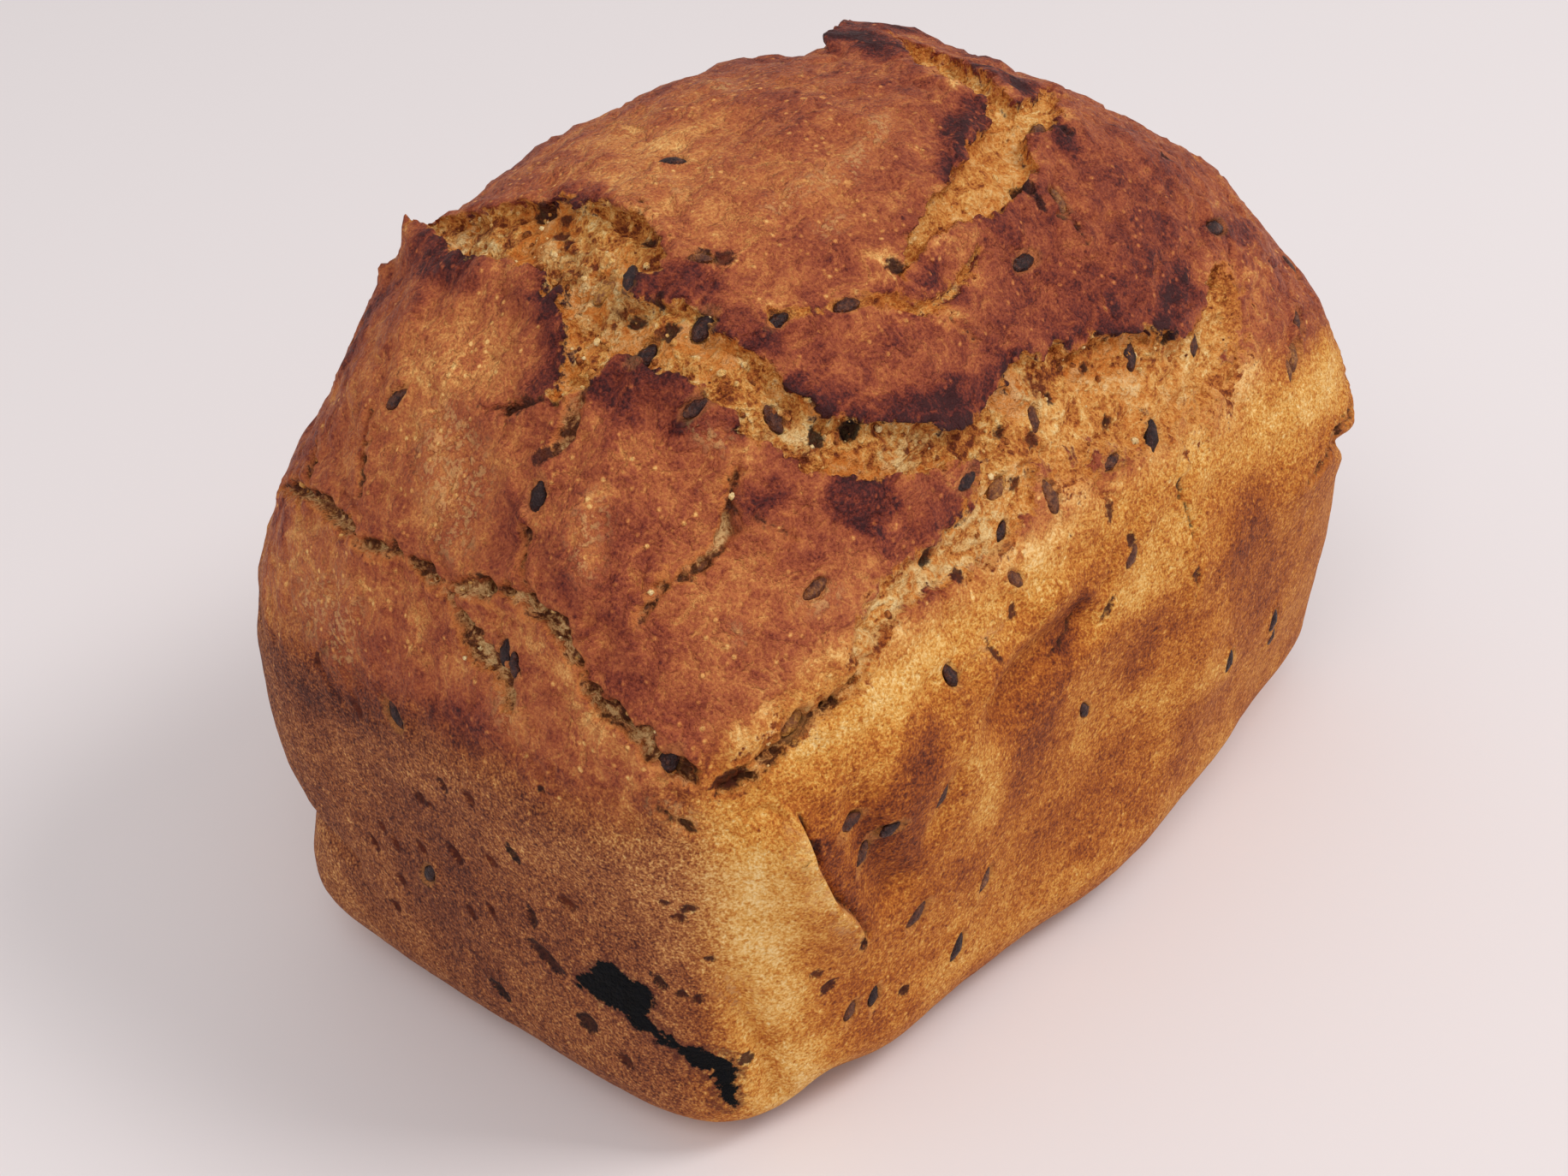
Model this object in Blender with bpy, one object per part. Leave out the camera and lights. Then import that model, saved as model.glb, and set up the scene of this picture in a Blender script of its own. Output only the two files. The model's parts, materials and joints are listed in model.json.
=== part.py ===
"""Rye tin loaf, whole and uncut, with a torn and cracked top crust and flax seeds baked into it.

Metres, +Z up. The loaf stands on its flat base at z = 0 with its length along X, centred on the
origin. Sizes below are in millimetres and are scaled once, at the end. A place on the crust is a
bearing from the heart of the loaf: degrees round from +X, then degrees up from level.
"""
import math

import bmesh
import bpy
import numpy as np
from mathutils import Vector, noise

# Overall form
LENGTH = 169.0
WIDTH = 110.0
HEIGHT = 121.6
RIM = 54.5
TIN_TAPER = 3.5
FOOT_RADIUS = 13.0
DOME_POWER = 2.5
DOME_RISE = 1.64
SUMMIT_OFFSET = (-3.0, 5.2)
SQUARENESS = (4.8, 4.6, 3.1)
HEART = 45.0

# Mesh sizes
SKIN_STEP = 1.3
LOAF_TRIANGLES = 8200
MM = 0.001

# Tears where the crust opened in the oven: depth, lip on the left, lip on the right, then
# the way along the tear as bearing, elevation and half width
TEARS = [
    (2.0, 0.9, 1.1, [(378, 72.5, 0.8), (366, 73, 2.5), (348, 71, 3.5), (333, 69, 4.5),
                     (318, 67.5, 5.5), (302, 68, 6.5), (286, 68.5, 6), (272, 69, 4.5), (261, 68, 3.5),
                     (250, 66.5, 2.5), (240, 64.5, 2.5), (232, 61.5, 3), (229, 59.5, 1)]),
    (1.2, 0.4, 0.4, [(234, 59.5, 1.6), (241, 58.5, 1.5), (249, 60, 1.5), (256, 62, 1.2), (263, 64, 1)]),
    (2.2, 1.2, 1.0, [(139, 47, 0.8), (147, 51, 2.5), (155, 53, 4.5), (163, 56, 6), (171, 57.5, 7),
                     (179, 57, 7.5), (187, 54.5, 7.5), (194, 51.5, 6.5), (201, 50, 5.5), (208, 49, 5),
                     (213.5, 46, 4.5), (219, 43.8, 4), (226, 43.2, 3.5), (233, 43.2, 3.5),
                     (240, 43.2, 2.5), (247, 43.5, 3)]),
    (1.2, 0.0, 0.5, [(187, 52, 4.5), (188.5, 48, 3.5), (187.5, 44.5, 2.5), (182, 42, 1.2), (177, 40.3, 1)]),
    (1.8, 0.3, 1.4, [(249, 43, 5), (256, 44, 7), (264, 44, 9), (273, 42.5, 9), (282, 40.5, 8.5),
                     (291, 37, 7.5), (299, 34, 7), (306, 34, 6), (312, 37, 3.5)]),
    (1.1, 0.2, 0.5, [(250, 38, 6), (245, 34.5, 5), (240, 32.5, 4), (235, 31, 3.2), (230, 29.5, 3),
                     (226.5, 27.5, 2.8), (224, 24.5, 2.4), (222.5, 21.5, 1.8), (220, 20, 1.6),
                     (217, 18.6, 1.6), (214, 15.6, 1.8), (211.5, 14, 1.8)]),
]

# Narrow cracks: depth, then the way as bearing, elevation and half width
CRACKS = [
    (3.2, [(150, 21, 0.4), (154, 23, 1.2), (158, 24.2, 1.5), (163, 24.8, 1.4), (169, 24.8, 1.5),
           (175, 25.4, 1.4), (181, 25, 1.5), (186, 25.8, 1.3)]),
    (3.8, [(186, 25.8, 1.2), (190, 26.8, 1.3), (193.5, 26, 1.5), (196.5, 24.4, 1.7),
           (198.7, 22.4, 1.8), (200, 20.3, 1.7), (203, 18.6, 1.6), (206, 17, 1.9), (208.5, 14.8, 1)]),
    (3.0, [(181, 24, 0.7), (184.5, 21.7, 1.8), (187.5, 20.6, 1.8), (191.5, 20.7, 0.8)]),
    (2.0, [(190, 45.5, 0.5), (190.3, 41.5, 1.1), (189.6, 38.5, 1)]),
    (2.0, [(189.3, 32, 1), (190, 29.8, 1.1), (191, 27.5, 0.6)]),
    (2.2, [(210.5, 40, 0.5), (210, 36, 1.1), (209.8, 33.6, 1.3), (208, 31.6, 1.1),
           (205.8, 30.3, 1.1), (203.6, 27, 0.5)]),
    (1.4, [(213, 36.2, 0.6), (215, 35.5, 0.9), (217, 34.8, 0.5)]),
    (1.4, [(246.5, 57.3, 0.5), (248.5, 56, 0.9), (250.5, 54.8, 0.5)]),
    (1.4, [(286.8, 30, 0.4), (287.5, 22, 0.9), (288.5, 14, 0.9), (287.5, 5, 0.4)]),
    (2.8, [(312, 7.8, 0.5), (317, 8.3, 1.8), (322, 8.8, 2.2), (328, 9, 1.6), (336, 9.4, 0.5)]),
    (2.2, [(210.5, -4, 0.4), (211.2, -7, 1.2), (212.2, -11, 1.5), (213.5, -17, 1.5), (214, -24, 1.2)]),
]

# Folds and wrinkles left by the tin: height, half width, way as bearing and elevation
FOLDS = [
    (2.0, 2.4, [(216.5, 14), (217.8, 9.5), (219.3, 3.5), (220.3, -0.5), (222.4, -4.5), (223.5, -9)]),
    (-2.4, 3.2, [(222.5, 9), (224, 3), (225, -1), (226.5, -5)]),
    (-3.2, 5.0, [(260, 16), (254, 14.5), (248, 13), (243, 11)]),
    (1.2, 2.5, [(262, 19), (255, 19.5), (247, 18), (240, 14.5), (236, 9)]),
    (-1.2, 2.5, [(238, 12), (234, 6), (231, 0)]),
    (-1.4, 1.6, [(152, -12), (158, -12.5), (164, -13.5)]),
    (0.9, 3.0, [(36, 65.5), (27, 62), (17, 60), (8, 59), (0, 60)]),
]

# Broad swells and hollows: height, reach, bearing, elevation
SWELLS = [
    (1.8, 22, 228, 10), (1.6, 16, 322, 14), (-2.0, 16, 150, 30), (1.2, 8, 156, -20),
    (-1.2, 14, 200, -4), (1.2, 14, 209, 18), (1.0, 12, 195, 35), (1.0, 14, 235, 52),
    (2.2, 14, 290, -10), (-1.0, 20, 270, -5), (1.2, 20, 90, 10), (-1.0, 25, 60, 0),
    (-2.2, 19, 0, 55), (-3.8, 6, 44, 68), (1.4, 9, 123, 59), (3.4, 4.5, 145, 47.5),
    (3.0, 4.5, 142, 41), (1.5, 12, 154, -3), (-2.6, 5, 152, -13), (1.8, 9, 209, -27),
    (-2.2, 5, 219, -29), (2.2, 16, 268, -35), (1.2, 13, 283, -31), (-2.8, 17, 317, -27),
    (1.4, 12, 338, 33), (-1.4, 6, 324, 6),
]

# Flax seeds on the crust: bearing, elevation, length, turn from level
SEEDS = [
    (165, 37, 4.4, 60), (189.5, 35, 5.0, 95), (190.5, 21, 4.6, 100), (320.5, 40, 5.0, -20),
    (276, 60.5, 5.0, 0), (225.5, 58.3, 4.6, 0), (213.5, 55.3, 4.2, 20), (203, 53.3, 5.2, 55),
    (196, 49.3, 5.0, 70), (189.5, 55.7, 4.6, 110), (184.5, 54.5, 4.2, 80), (170, 71, 4.2, 30),
    (198, 60, 3.6, 0), (298, 61.5, 4.6, 70), (285.3, 32.5, 5.4, 65), (274, 34, 4.6, 5),
    (258, 34.5, 5.6, 100), (247.3, 32.5, 3.4, 40), (247.3, 26.5, 4.2, 130), (234.3, 18.5, 4.8, 110),
    (232.3, 4.5, 4.6, 60), (222, 7.3, 4.4, 10), (225.7, 4.7, 3.8, 10), (223.3, 2, 4.4, 60),
    (229.3, -11.5, 5.0, 40), (235.5, -23, 5.4, 70), (240, -16, 5.0, 70), (224, -18.5, 4.2, 80),
    (221.5, -18, 4.0, 70), (261.5, -1, 4.0, 120), (298, -11.5, 4.4, 80), (310.5, -12, 4.4, 85),
    (311.5, -15, 3.8, 80), (289, 43, 5.0, 75), (317, 22, 5.2, 60), (313.5, 22.5, 4.0, 90),
    (273.3, 20, 4.0, 40), (270.5, 24, 4.4, 70), (261, 44, 4.4, 70), (248.5, 37.8, 4.6, 20),
    (177, -8.5, 4.6, 60), (176.5, 10.5, 4.8, 130), (219, 30, 4.2, 20), (241, 39.5, 4.0, 10),
    (303, 36, 4.2, 60), (320.5, 24, 4.2, 50), (329, 25, 4.6, 60), (207, 16, 5.0, 60),
    (217, 18.5, 4.4, 40), (205, 45, 4.0, 30), (214.5, 45.8, 4.4, 100),
]
SEED_WIDTH = 0.5
SEED_THICKNESS = 0.36


def section(z):
    """Half length, half width, squareness and centre of the level cut at height z."""
    rise = np.clip((z - RIM) / (HEIGHT - RIM), 0.0, 1.0)
    wall = np.clip(z / RIM, 0.0, 1.0)
    low = np.clip(FOOT_RADIUS - z, 0.0, FOOT_RADIUS)
    inset = TIN_TAPER * (1.0 - wall) + FOOT_RADIUS - np.sqrt(FOOT_RADIUS ** 2 - low ** 2)
    dome = np.maximum(1.0 - rise ** DOME_RISE, 1e-9) ** (1.0 / DOME_POWER)
    base, rim, top = SQUARENESS
    square = base + (rim - base) * wall + (top - rim) * rise
    half_length = (LENGTH / 2 - inset) * dome
    half_width = (WIDTH / 2 - inset) * dome
    return half_length, half_width, square, SUMMIT_OFFSET[0] * rise, SUMMIT_OFFSET[1] * rise


def onto_crust(ways):
    """Where rays from the heart along the given directions leave the smooth loaf."""
    ways = ways / np.linalg.norm(ways, axis=-1, keepdims=True)
    near = np.zeros(len(ways))
    far = np.full(len(ways), 150.0)
    for _ in range(34):
        middle = (near + far) / 2
        x, y, z = (ways * middle[:, None]).T
        z = z + HEART
        half_length, half_width, square, mid_x, mid_y = section(z)
        spread = (np.abs(x - mid_x) / half_length) ** square + (np.abs(y - mid_y) / half_width) ** square
        inside = (spread < 1.0) & (z > 0.0) & (z < HEIGHT)
        near = np.where(inside, middle, near)
        far = np.where(inside, far, middle)
    points = ways * near[:, None] + (0.0, 0.0, HEART)
    points[points[:, 2] < 1e-4, 2] = 0.0
    return points


def at_bearing(bearing, elevation):
    """Points of the smooth crust at bearings given in degrees."""
    a, e = np.radians(np.atleast_1d(bearing)), np.radians(np.atleast_1d(elevation))
    return onto_crust(np.stack([np.cos(a) * np.cos(e), np.sin(a) * np.cos(e), np.sin(e)], axis=-1))


def facing(bearing, elevation):
    """Outward directions of the smooth crust at bearings given in degrees."""
    round_way = at_bearing(bearing + 0.4, elevation) - at_bearing(bearing - 0.4, elevation)
    up_way = at_bearing(bearing, elevation + 0.4) - at_bearing(bearing, elevation - 0.4)
    out = np.cross(round_way, up_way)
    return out / np.linalg.norm(out, axis=1, keepdims=True)


def smooth_way(stops, steps=5):
    """A smooth line through hand-set stops, each a tuple, sampled between them."""
    stops = np.array(stops, float)
    ends = np.vstack([2 * stops[0] - stops[1], stops, 2 * stops[-1] - stops[-2]])
    line = []
    for p0, p1, p2, p3 in zip(ends[:-3], ends[1:-2], ends[2:-1], ends[3:]):
        for t in np.arange(steps) / steps:
            line.append(0.5 * (2 * p1 + (p2 - p0) * t + (2 * p0 - 5 * p1 + 4 * p2 - p3) * t ** 2
                               + (3 * p1 - p0 - 3 * p2 + p3) * t ** 3))
    line.append(stops[-1])
    return np.array(line)


def beside(points, stops):
    """Distance of each point from a line on the crust, its side, and the stops' last value there."""
    line = smooth_way(stops)
    track = at_bearing(line[:, 0], line[:, 1])
    gap = np.full(len(points), 1e6)
    side = np.zeros(len(points))
    value = np.zeros(len(points))
    for i in range(len(track) - 1):
        run = track[i + 1] - track[i]
        share = np.clip((points - track[i]) @ run / (run @ run), 0.0, 1.0)
        off = points - track[i] - share[:, None] * run
        reach = np.linalg.norm(off, axis=1)
        closer = reach < gap
        out = track[i] - (0.0, 0.0, HEART)
        turn = np.cross(run, off) @ out
        gap = np.where(closer, reach, gap)
        side = np.where(closer, np.sign(turn), side)
        value = np.where(closer, line[i, -1] + share * (line[i + 1, -1] - line[i, -1]), value)
    return gap, side, value


def lumps(points, size, detail, shift):
    """Repeatable noise between about -1 and 1, with lumps of the given size."""
    aside = Vector((shift, 0, 0))
    return np.array([noise.fractal(Vector(p) / size + aside, 0.9, 2.0, detail) for p in points])


def ramp(value, low, high):
    """A soft step from 0 at low to 1 at high."""
    t = np.clip((value - low) / (high - low), 0.0, 1.0)
    return t * t * (3.0 - 2.0 * t)


def relief(points):
    """Height of the real crust over the smooth loaf at each of its points."""
    domed = ramp(points[:, 2], 50.0, 66.0)
    height = lumps(points, 26.0, 2, 3.0) * (0.5 + 0.7 * domed)
    height += lumps(points, 7.0, 3, 11.0) * (0.16 + 0.34 * domed)
    for swell, reach, bearing, elevation in SWELLS:
        away = np.linalg.norm(points - at_bearing(bearing, elevation), axis=1)
        height += swell * np.exp(-(away / reach) ** 2)
    for fold, wide, stops in FOLDS:
        gap, side, value = beside(points, stops)
        height += fold * np.exp(-(gap / wide) ** 2)
    ragged = lumps(points, 4.5, 3, 29.0)
    rough = lumps(points, 3.2, 3, 47.0)
    torn = np.zeros(len(points))
    depth = np.zeros(len(points))
    lip = np.zeros(len(points))
    for deep, left_lip, right_lip, stops in TEARS:
        gap, side, wide = beside(points, stops)
        past = gap - wide * (1.0 + 0.3 * ragged)
        opened = 1.0 - ramp(past, -1.6, 0.5)
        torn = np.maximum(torn, opened)
        depth = np.maximum(depth, deep * opened)
        edge = np.where(side > 0, left_lip, right_lip)
        lip = np.maximum(lip, edge * np.exp(-((past - 1.4) / 2.4) ** 2))
    height += lip * (1.0 - torn) - depth + 0.7 * rough * torn
    for deep, stops in CRACKS:
        gap, side, wide = beside(points, stops)
        height -= deep * (1.0 - ramp(gap * (1.0 + 0.35 * ragged), 0.0, wide))
    return height


def settled(points, outward):
    """The finished crust: the smooth loaf with its relief, kept flat on the base."""
    near_base = ramp(points[:, 2], 0.0, 10.0)
    outward = outward * np.stack([np.ones_like(near_base), np.ones_like(near_base), near_base], axis=1)
    return points + outward * (relief(points) * ramp(points[:, 2], 0.0, 4.0))[:, None]


def new_material(name, colour, roughness):
    """A plain surface with one colour."""
    material = bpy.data.materials.new(name)
    material.use_nodes = True
    shader = material.node_tree.nodes["Principled BSDF"]
    shader.inputs["Base Color"].default_value = (*colour, 1.0)
    shader.inputs["Roughness"].default_value = roughness
    shader.inputs["Metallic"].default_value = 0.0
    return material


for old in list(bpy.data.objects):
    bpy.data.objects.remove(old, do_unlink=True)
parts = bpy.data.collections.new("rye_loaf")
loose_seeds = bpy.data.collections.new("seeds_to_fuse")
bpy.context.scene.collection.children.link(parts)
bpy.context.scene.collection.children.link(loose_seeds)

# The loaf: a box cut into even squares, each corner pushed out to the crust
box = bmesh.new()
bmesh.ops.create_cube(box, size=1.0)
for axis, extent in enumerate((LENGTH, WIDTH, HEIGHT)):
    along = [e for e in box.edges if abs((e.verts[0].co - e.verts[1].co)[axis]) > 0.5]
    bmesh.ops.subdivide_edges(box, edges=along, cuts=round(extent / SKIN_STEP) - 1, use_grid_fill=True)
for corner in box.verts:
    corner.co = Vector((corner.co.x * LENGTH, corner.co.y * WIDTH, (corner.co.z + 0.5) * HEIGHT - HEART))
crust = onto_crust(np.array([v.co for v in box.verts]))
for corner, place in zip(box.verts, crust):
    corner.co = place
box.normal_update()
crust = settled(crust, np.array([v.normal for v in box.verts]))
for corner, place in zip(box.verts, crust):
    corner.co = Vector(place) * MM
loaf_mesh = bpy.data.meshes.new("loaf")
box.to_mesh(loaf_mesh)
box.free()
loaf = bpy.data.objects.new("loaf", loaf_mesh)
parts.objects.link(loaf)
loaf_mesh.materials.append(new_material("rye_crust", (0.36, 0.16, 0.07), 0.62))

# Fewer faces where the crust is plain
thin = loaf.modifiers.new("thin", "DECIMATE")
thin.ratio = LOAF_TRIANGLES / (2 * len(loaf_mesh.polygons))

# The seeds: flat ovals half sunk in the crust
for bearing, elevation, length, turn in SEEDS:
    spot = at_bearing(bearing, elevation)
    out = facing(bearing, elevation)
    spot = Vector(settled(spot, out)[0]) * MM
    up = Vector(out[0])
    level = Vector((0, 0, 1)).cross(up).normalized()
    rise = up.cross(level)
    along = level * math.cos(math.radians(turn)) + rise * math.sin(math.radians(turn))
    across = up.cross(along)
    oval = bmesh.new()
    bmesh.ops.create_uvsphere(oval, u_segments=5, v_segments=4, radius=length / 2 * MM)
    for corner in oval.verts:
        local = corner.co
        corner.co = (spot + along * local.z + across * local.x * SEED_WIDTH + up * local.y * SEED_THICKNESS)
    seed_mesh = bpy.data.meshes.new("seed")
    oval.to_mesh(seed_mesh)
    oval.free()
    loose_seeds.objects.link(bpy.data.objects.new("seed", seed_mesh))

fuse = loaf.modifiers.new("fuse_seeds", "BOOLEAN")
fuse.operation = "UNION"
fuse.operand_type = "COLLECTION"
fuse.collection = loose_seeds
fuse.solver = "MANIFOLD"
bpy.context.view_layer.update()
finished = bpy.data.meshes.new_from_object(loaf.evaluated_get(bpy.context.evaluated_depsgraph_get()))
loaf.modifiers.clear()
loaf.data = finished
for seed in list(loose_seeds.objects):
    bpy.data.objects.remove(seed, do_unlink=True)
bpy.data.collections.remove(loose_seeds)

# The box of the finished loaf is centred over the origin, and its base is dead flat
corners = np.array([v.co for v in finished.vertices])
middle = (corners.min(axis=0) + corners.max(axis=0)) / 2
for vertex in finished.vertices:
    vertex.co.x -= middle[0]
    vertex.co.y -= middle[1]
    if vertex.co.z < 0.00002:
        vertex.co.z = 0.0
finished.shade_smooth()
finished.set_sharp_from_angle(angle=math.radians(50))
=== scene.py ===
"""Rye tin loaf with a torn top crust and flax seeds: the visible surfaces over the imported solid.

Metres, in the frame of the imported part. Crust sizes are worked out in millimetres. A place on the
crust is a bearing from the heart of the loaf: degrees round from +X, then degrees up from level.
"""
import json
import math

import bmesh
import bpy
import numpy as np
from mathutils import Matrix, Vector, noise
from mathutils.kdtree import KDTree

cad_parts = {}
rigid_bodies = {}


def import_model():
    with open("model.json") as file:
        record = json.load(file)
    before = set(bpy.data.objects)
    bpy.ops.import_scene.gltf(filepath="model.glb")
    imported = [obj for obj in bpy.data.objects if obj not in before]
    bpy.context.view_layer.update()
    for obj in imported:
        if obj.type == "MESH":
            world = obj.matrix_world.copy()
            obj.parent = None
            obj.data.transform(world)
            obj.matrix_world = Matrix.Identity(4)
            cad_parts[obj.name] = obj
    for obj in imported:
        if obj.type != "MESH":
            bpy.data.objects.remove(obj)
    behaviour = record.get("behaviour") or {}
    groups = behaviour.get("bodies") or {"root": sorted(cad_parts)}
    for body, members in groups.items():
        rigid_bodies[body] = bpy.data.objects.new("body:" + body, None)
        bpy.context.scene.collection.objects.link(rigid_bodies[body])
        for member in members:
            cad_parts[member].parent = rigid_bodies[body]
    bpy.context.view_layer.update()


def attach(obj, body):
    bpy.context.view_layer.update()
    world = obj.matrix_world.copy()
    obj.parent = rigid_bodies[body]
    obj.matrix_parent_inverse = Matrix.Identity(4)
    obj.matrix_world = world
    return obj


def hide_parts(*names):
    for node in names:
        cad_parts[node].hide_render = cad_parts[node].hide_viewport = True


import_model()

# The loaf: one piece of rye and wheat dough, proved and baked in a tapered tin. Its walls are
# smooth from the tin, and the top rose freely into a dome whose crust set, cracked and tore.
MM = 0.001
LENGTH, WIDTH, HEIGHT = 169.0, 110.0, 121.6
RIM = 54.5                      # where the tin's walls end and the dome begins
TIN_TAPER = 3.5                 # how much each wall leans in towards the base
FOOT_RADIUS = 13.0              # the rounded edge of the base
DOME_POWER, DOME_RISE = 2.5, 1.64
SUMMIT_OFFSET = (-3.0, 5.2)
SQUARENESS = (4.8, 4.6, 3.1)    # of the level cuts at the base, the rim and the summit
HEART = 45.0                    # height of the point that bearings are taken from
CENTRED = (0.23, -0.30, 0.0)    # brings the shaped crust back over the solid
LONGEST_WAY, HALVINGS = 150.0, 34
ON_BASE = 1e-4
SKIN_STEP = 1.56                # size of a plain face
FINE_REACHES = (1.35, 0.36)     # how near to an edge the faces are halved, and halved again
FAR = 30.0
DOME_STARTS = (50.0, 66.0)      # heights between which the crust turns from smooth to rough


def section(z):
    """Half length, half width, squareness and centre of the level cut at height z."""
    rise = np.clip((z - RIM) / (HEIGHT - RIM), 0.0, 1.0)
    wall = np.clip(z / RIM, 0.0, 1.0)
    low = np.clip(FOOT_RADIUS - z, 0.0, FOOT_RADIUS)
    inset = TIN_TAPER * (1.0 - wall) + FOOT_RADIUS - np.sqrt(FOOT_RADIUS ** 2 - low ** 2)
    dome = np.maximum(1.0 - rise ** DOME_RISE, 1e-9) ** (1.0 / DOME_POWER)
    base, rim, top = SQUARENESS
    square = base + (rim - base) * wall + (top - rim) * rise
    return ((LENGTH / 2 - inset) * dome, (WIDTH / 2 - inset) * dome, square,
            SUMMIT_OFFSET[0] * rise, SUMMIT_OFFSET[1] * rise)


def onto_crust(ways):
    """Where rays from the heart along the given directions leave the smooth loaf."""
    ways = ways / np.linalg.norm(ways, axis=-1, keepdims=True)
    near = np.zeros(len(ways))
    far = np.full(len(ways), LONGEST_WAY)
    for _ in range(HALVINGS):
        middle = (near + far) / 2
        x, y, z = (ways * middle[:, None]).T
        z = z + HEART
        half_length, half_width, square, mid_x, mid_y = section(z)
        spread = ((np.abs(x - mid_x) / half_length) ** square
                  + (np.abs(y - mid_y) / half_width) ** square)
        inside = (spread < 1.0) & (z > 0.0) & (z < HEIGHT)
        near = np.where(inside, middle, near)
        far = np.where(inside, far, middle)
    points = ways * near[:, None] + (0.0, 0.0, HEART)
    points[points[:, 2] < ON_BASE, 2] = 0.0
    return points


def at_bearing(bearing, elevation):
    """Points of the smooth crust at bearings given in degrees."""
    a, e = np.radians(np.atleast_1d(bearing)), np.radians(np.atleast_1d(elevation))
    return onto_crust(np.stack([np.cos(a) * np.cos(e), np.sin(a) * np.cos(e), np.sin(e)], axis=-1))


def facing(bearing, elevation, turn=0.4):
    """Outward directions of the smooth crust at bearings given in degrees."""
    round_way = at_bearing(bearing + turn, elevation) - at_bearing(bearing - turn, elevation)
    up_way = at_bearing(bearing, elevation + turn) - at_bearing(bearing, elevation - turn)
    out = np.cross(round_way, up_way)
    return out / np.linalg.norm(out, axis=1, keepdims=True)


def smooth_way(stops, steps):
    """A smooth line through given stops, each a tuple, sampled between them."""
    stops = np.array(stops, float)
    if len(stops) == 1:
        stops = np.vstack([stops, stops + (0.01, 0.0, 0.0)])
    ends = np.vstack([2 * stops[0] - stops[1], stops, 2 * stops[-1] - stops[-2]])
    line = []
    for p0, p1, p2, p3 in zip(ends[:-3], ends[1:-2], ends[2:-1], ends[3:]):
        for t in np.arange(steps) / steps:
            line.append(0.5 * (2 * p1 + (p2 - p0) * t + (2 * p0 - 5 * p1 + 4 * p2 - p3) * t ** 2
                               + (3 * p1 - p0 - 3 * p2 + p3) * t ** 3))
    line.append(stops[-1])
    return np.array(line)


def beside(points, stops, steps=5, reach=24.0):
    """Each point's distance from a line on the crust, its side of it, the stops' last value there,
    and the way towards the line. Points beyond reach keep a large distance."""
    line = smooth_way(stops, steps)
    track = at_bearing(line[:, 0], line[:, 1])
    outs = facing(line[:, 0], line[:, 1])
    gap = np.full(len(points), 1e3)
    side = np.zeros(len(points))
    value = np.zeros(len(points))
    inward = np.zeros((len(points), 3))
    low, high = track.min(axis=0) - reach, track.max(axis=0) + reach
    near = np.flatnonzero(np.all((points > low) & (points < high), axis=1))
    spots = points[near]
    for i in range(len(track) - 1):
        run = track[i + 1] - track[i]
        share = np.clip((spots - track[i]) @ run / (run @ run), 0.0, 1.0)
        off = spots - track[i] - share[:, None] * run
        span = np.linalg.norm(off, axis=1)
        better = span < gap[near]
        chosen = near[better]
        gap[chosen] = span[better]
        side[chosen] = np.sign(np.cross(run, off[better]) @ (track[i] - (0.0, 0.0, HEART)))
        value[chosen] = (line[i, -1] + share * (line[i + 1, -1] - line[i, -1]))[better]
        flat = off[better] - (off[better] @ outs[i])[:, None] * outs[i]
        inward[chosen] = -flat / np.maximum(np.linalg.norm(flat, axis=1), 1e-6)[:, None]
    return gap, side, value, inward


def lumps(points, size, detail, shift):
    """Repeatable noise between about -1 and 1, with lumps of the given size."""
    aside = Vector((shift, 0, 0))
    return np.array([noise.fractal(Vector(p) / size + aside, 0.9, 2.0, detail) for p in points])


def ramp(value, low, high):
    """A soft step from 0 at low to 1 at high."""
    t = np.clip((value - low) / (high - low), 0.0, 1.0)
    return t * t * (3.0 - 2.0 * t)


def hump(value, middle, reach):
    """A smooth rise to 1 where value is middle, which fades over reach."""
    return np.exp(-((value - middle) / reach) ** 2)


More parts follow.
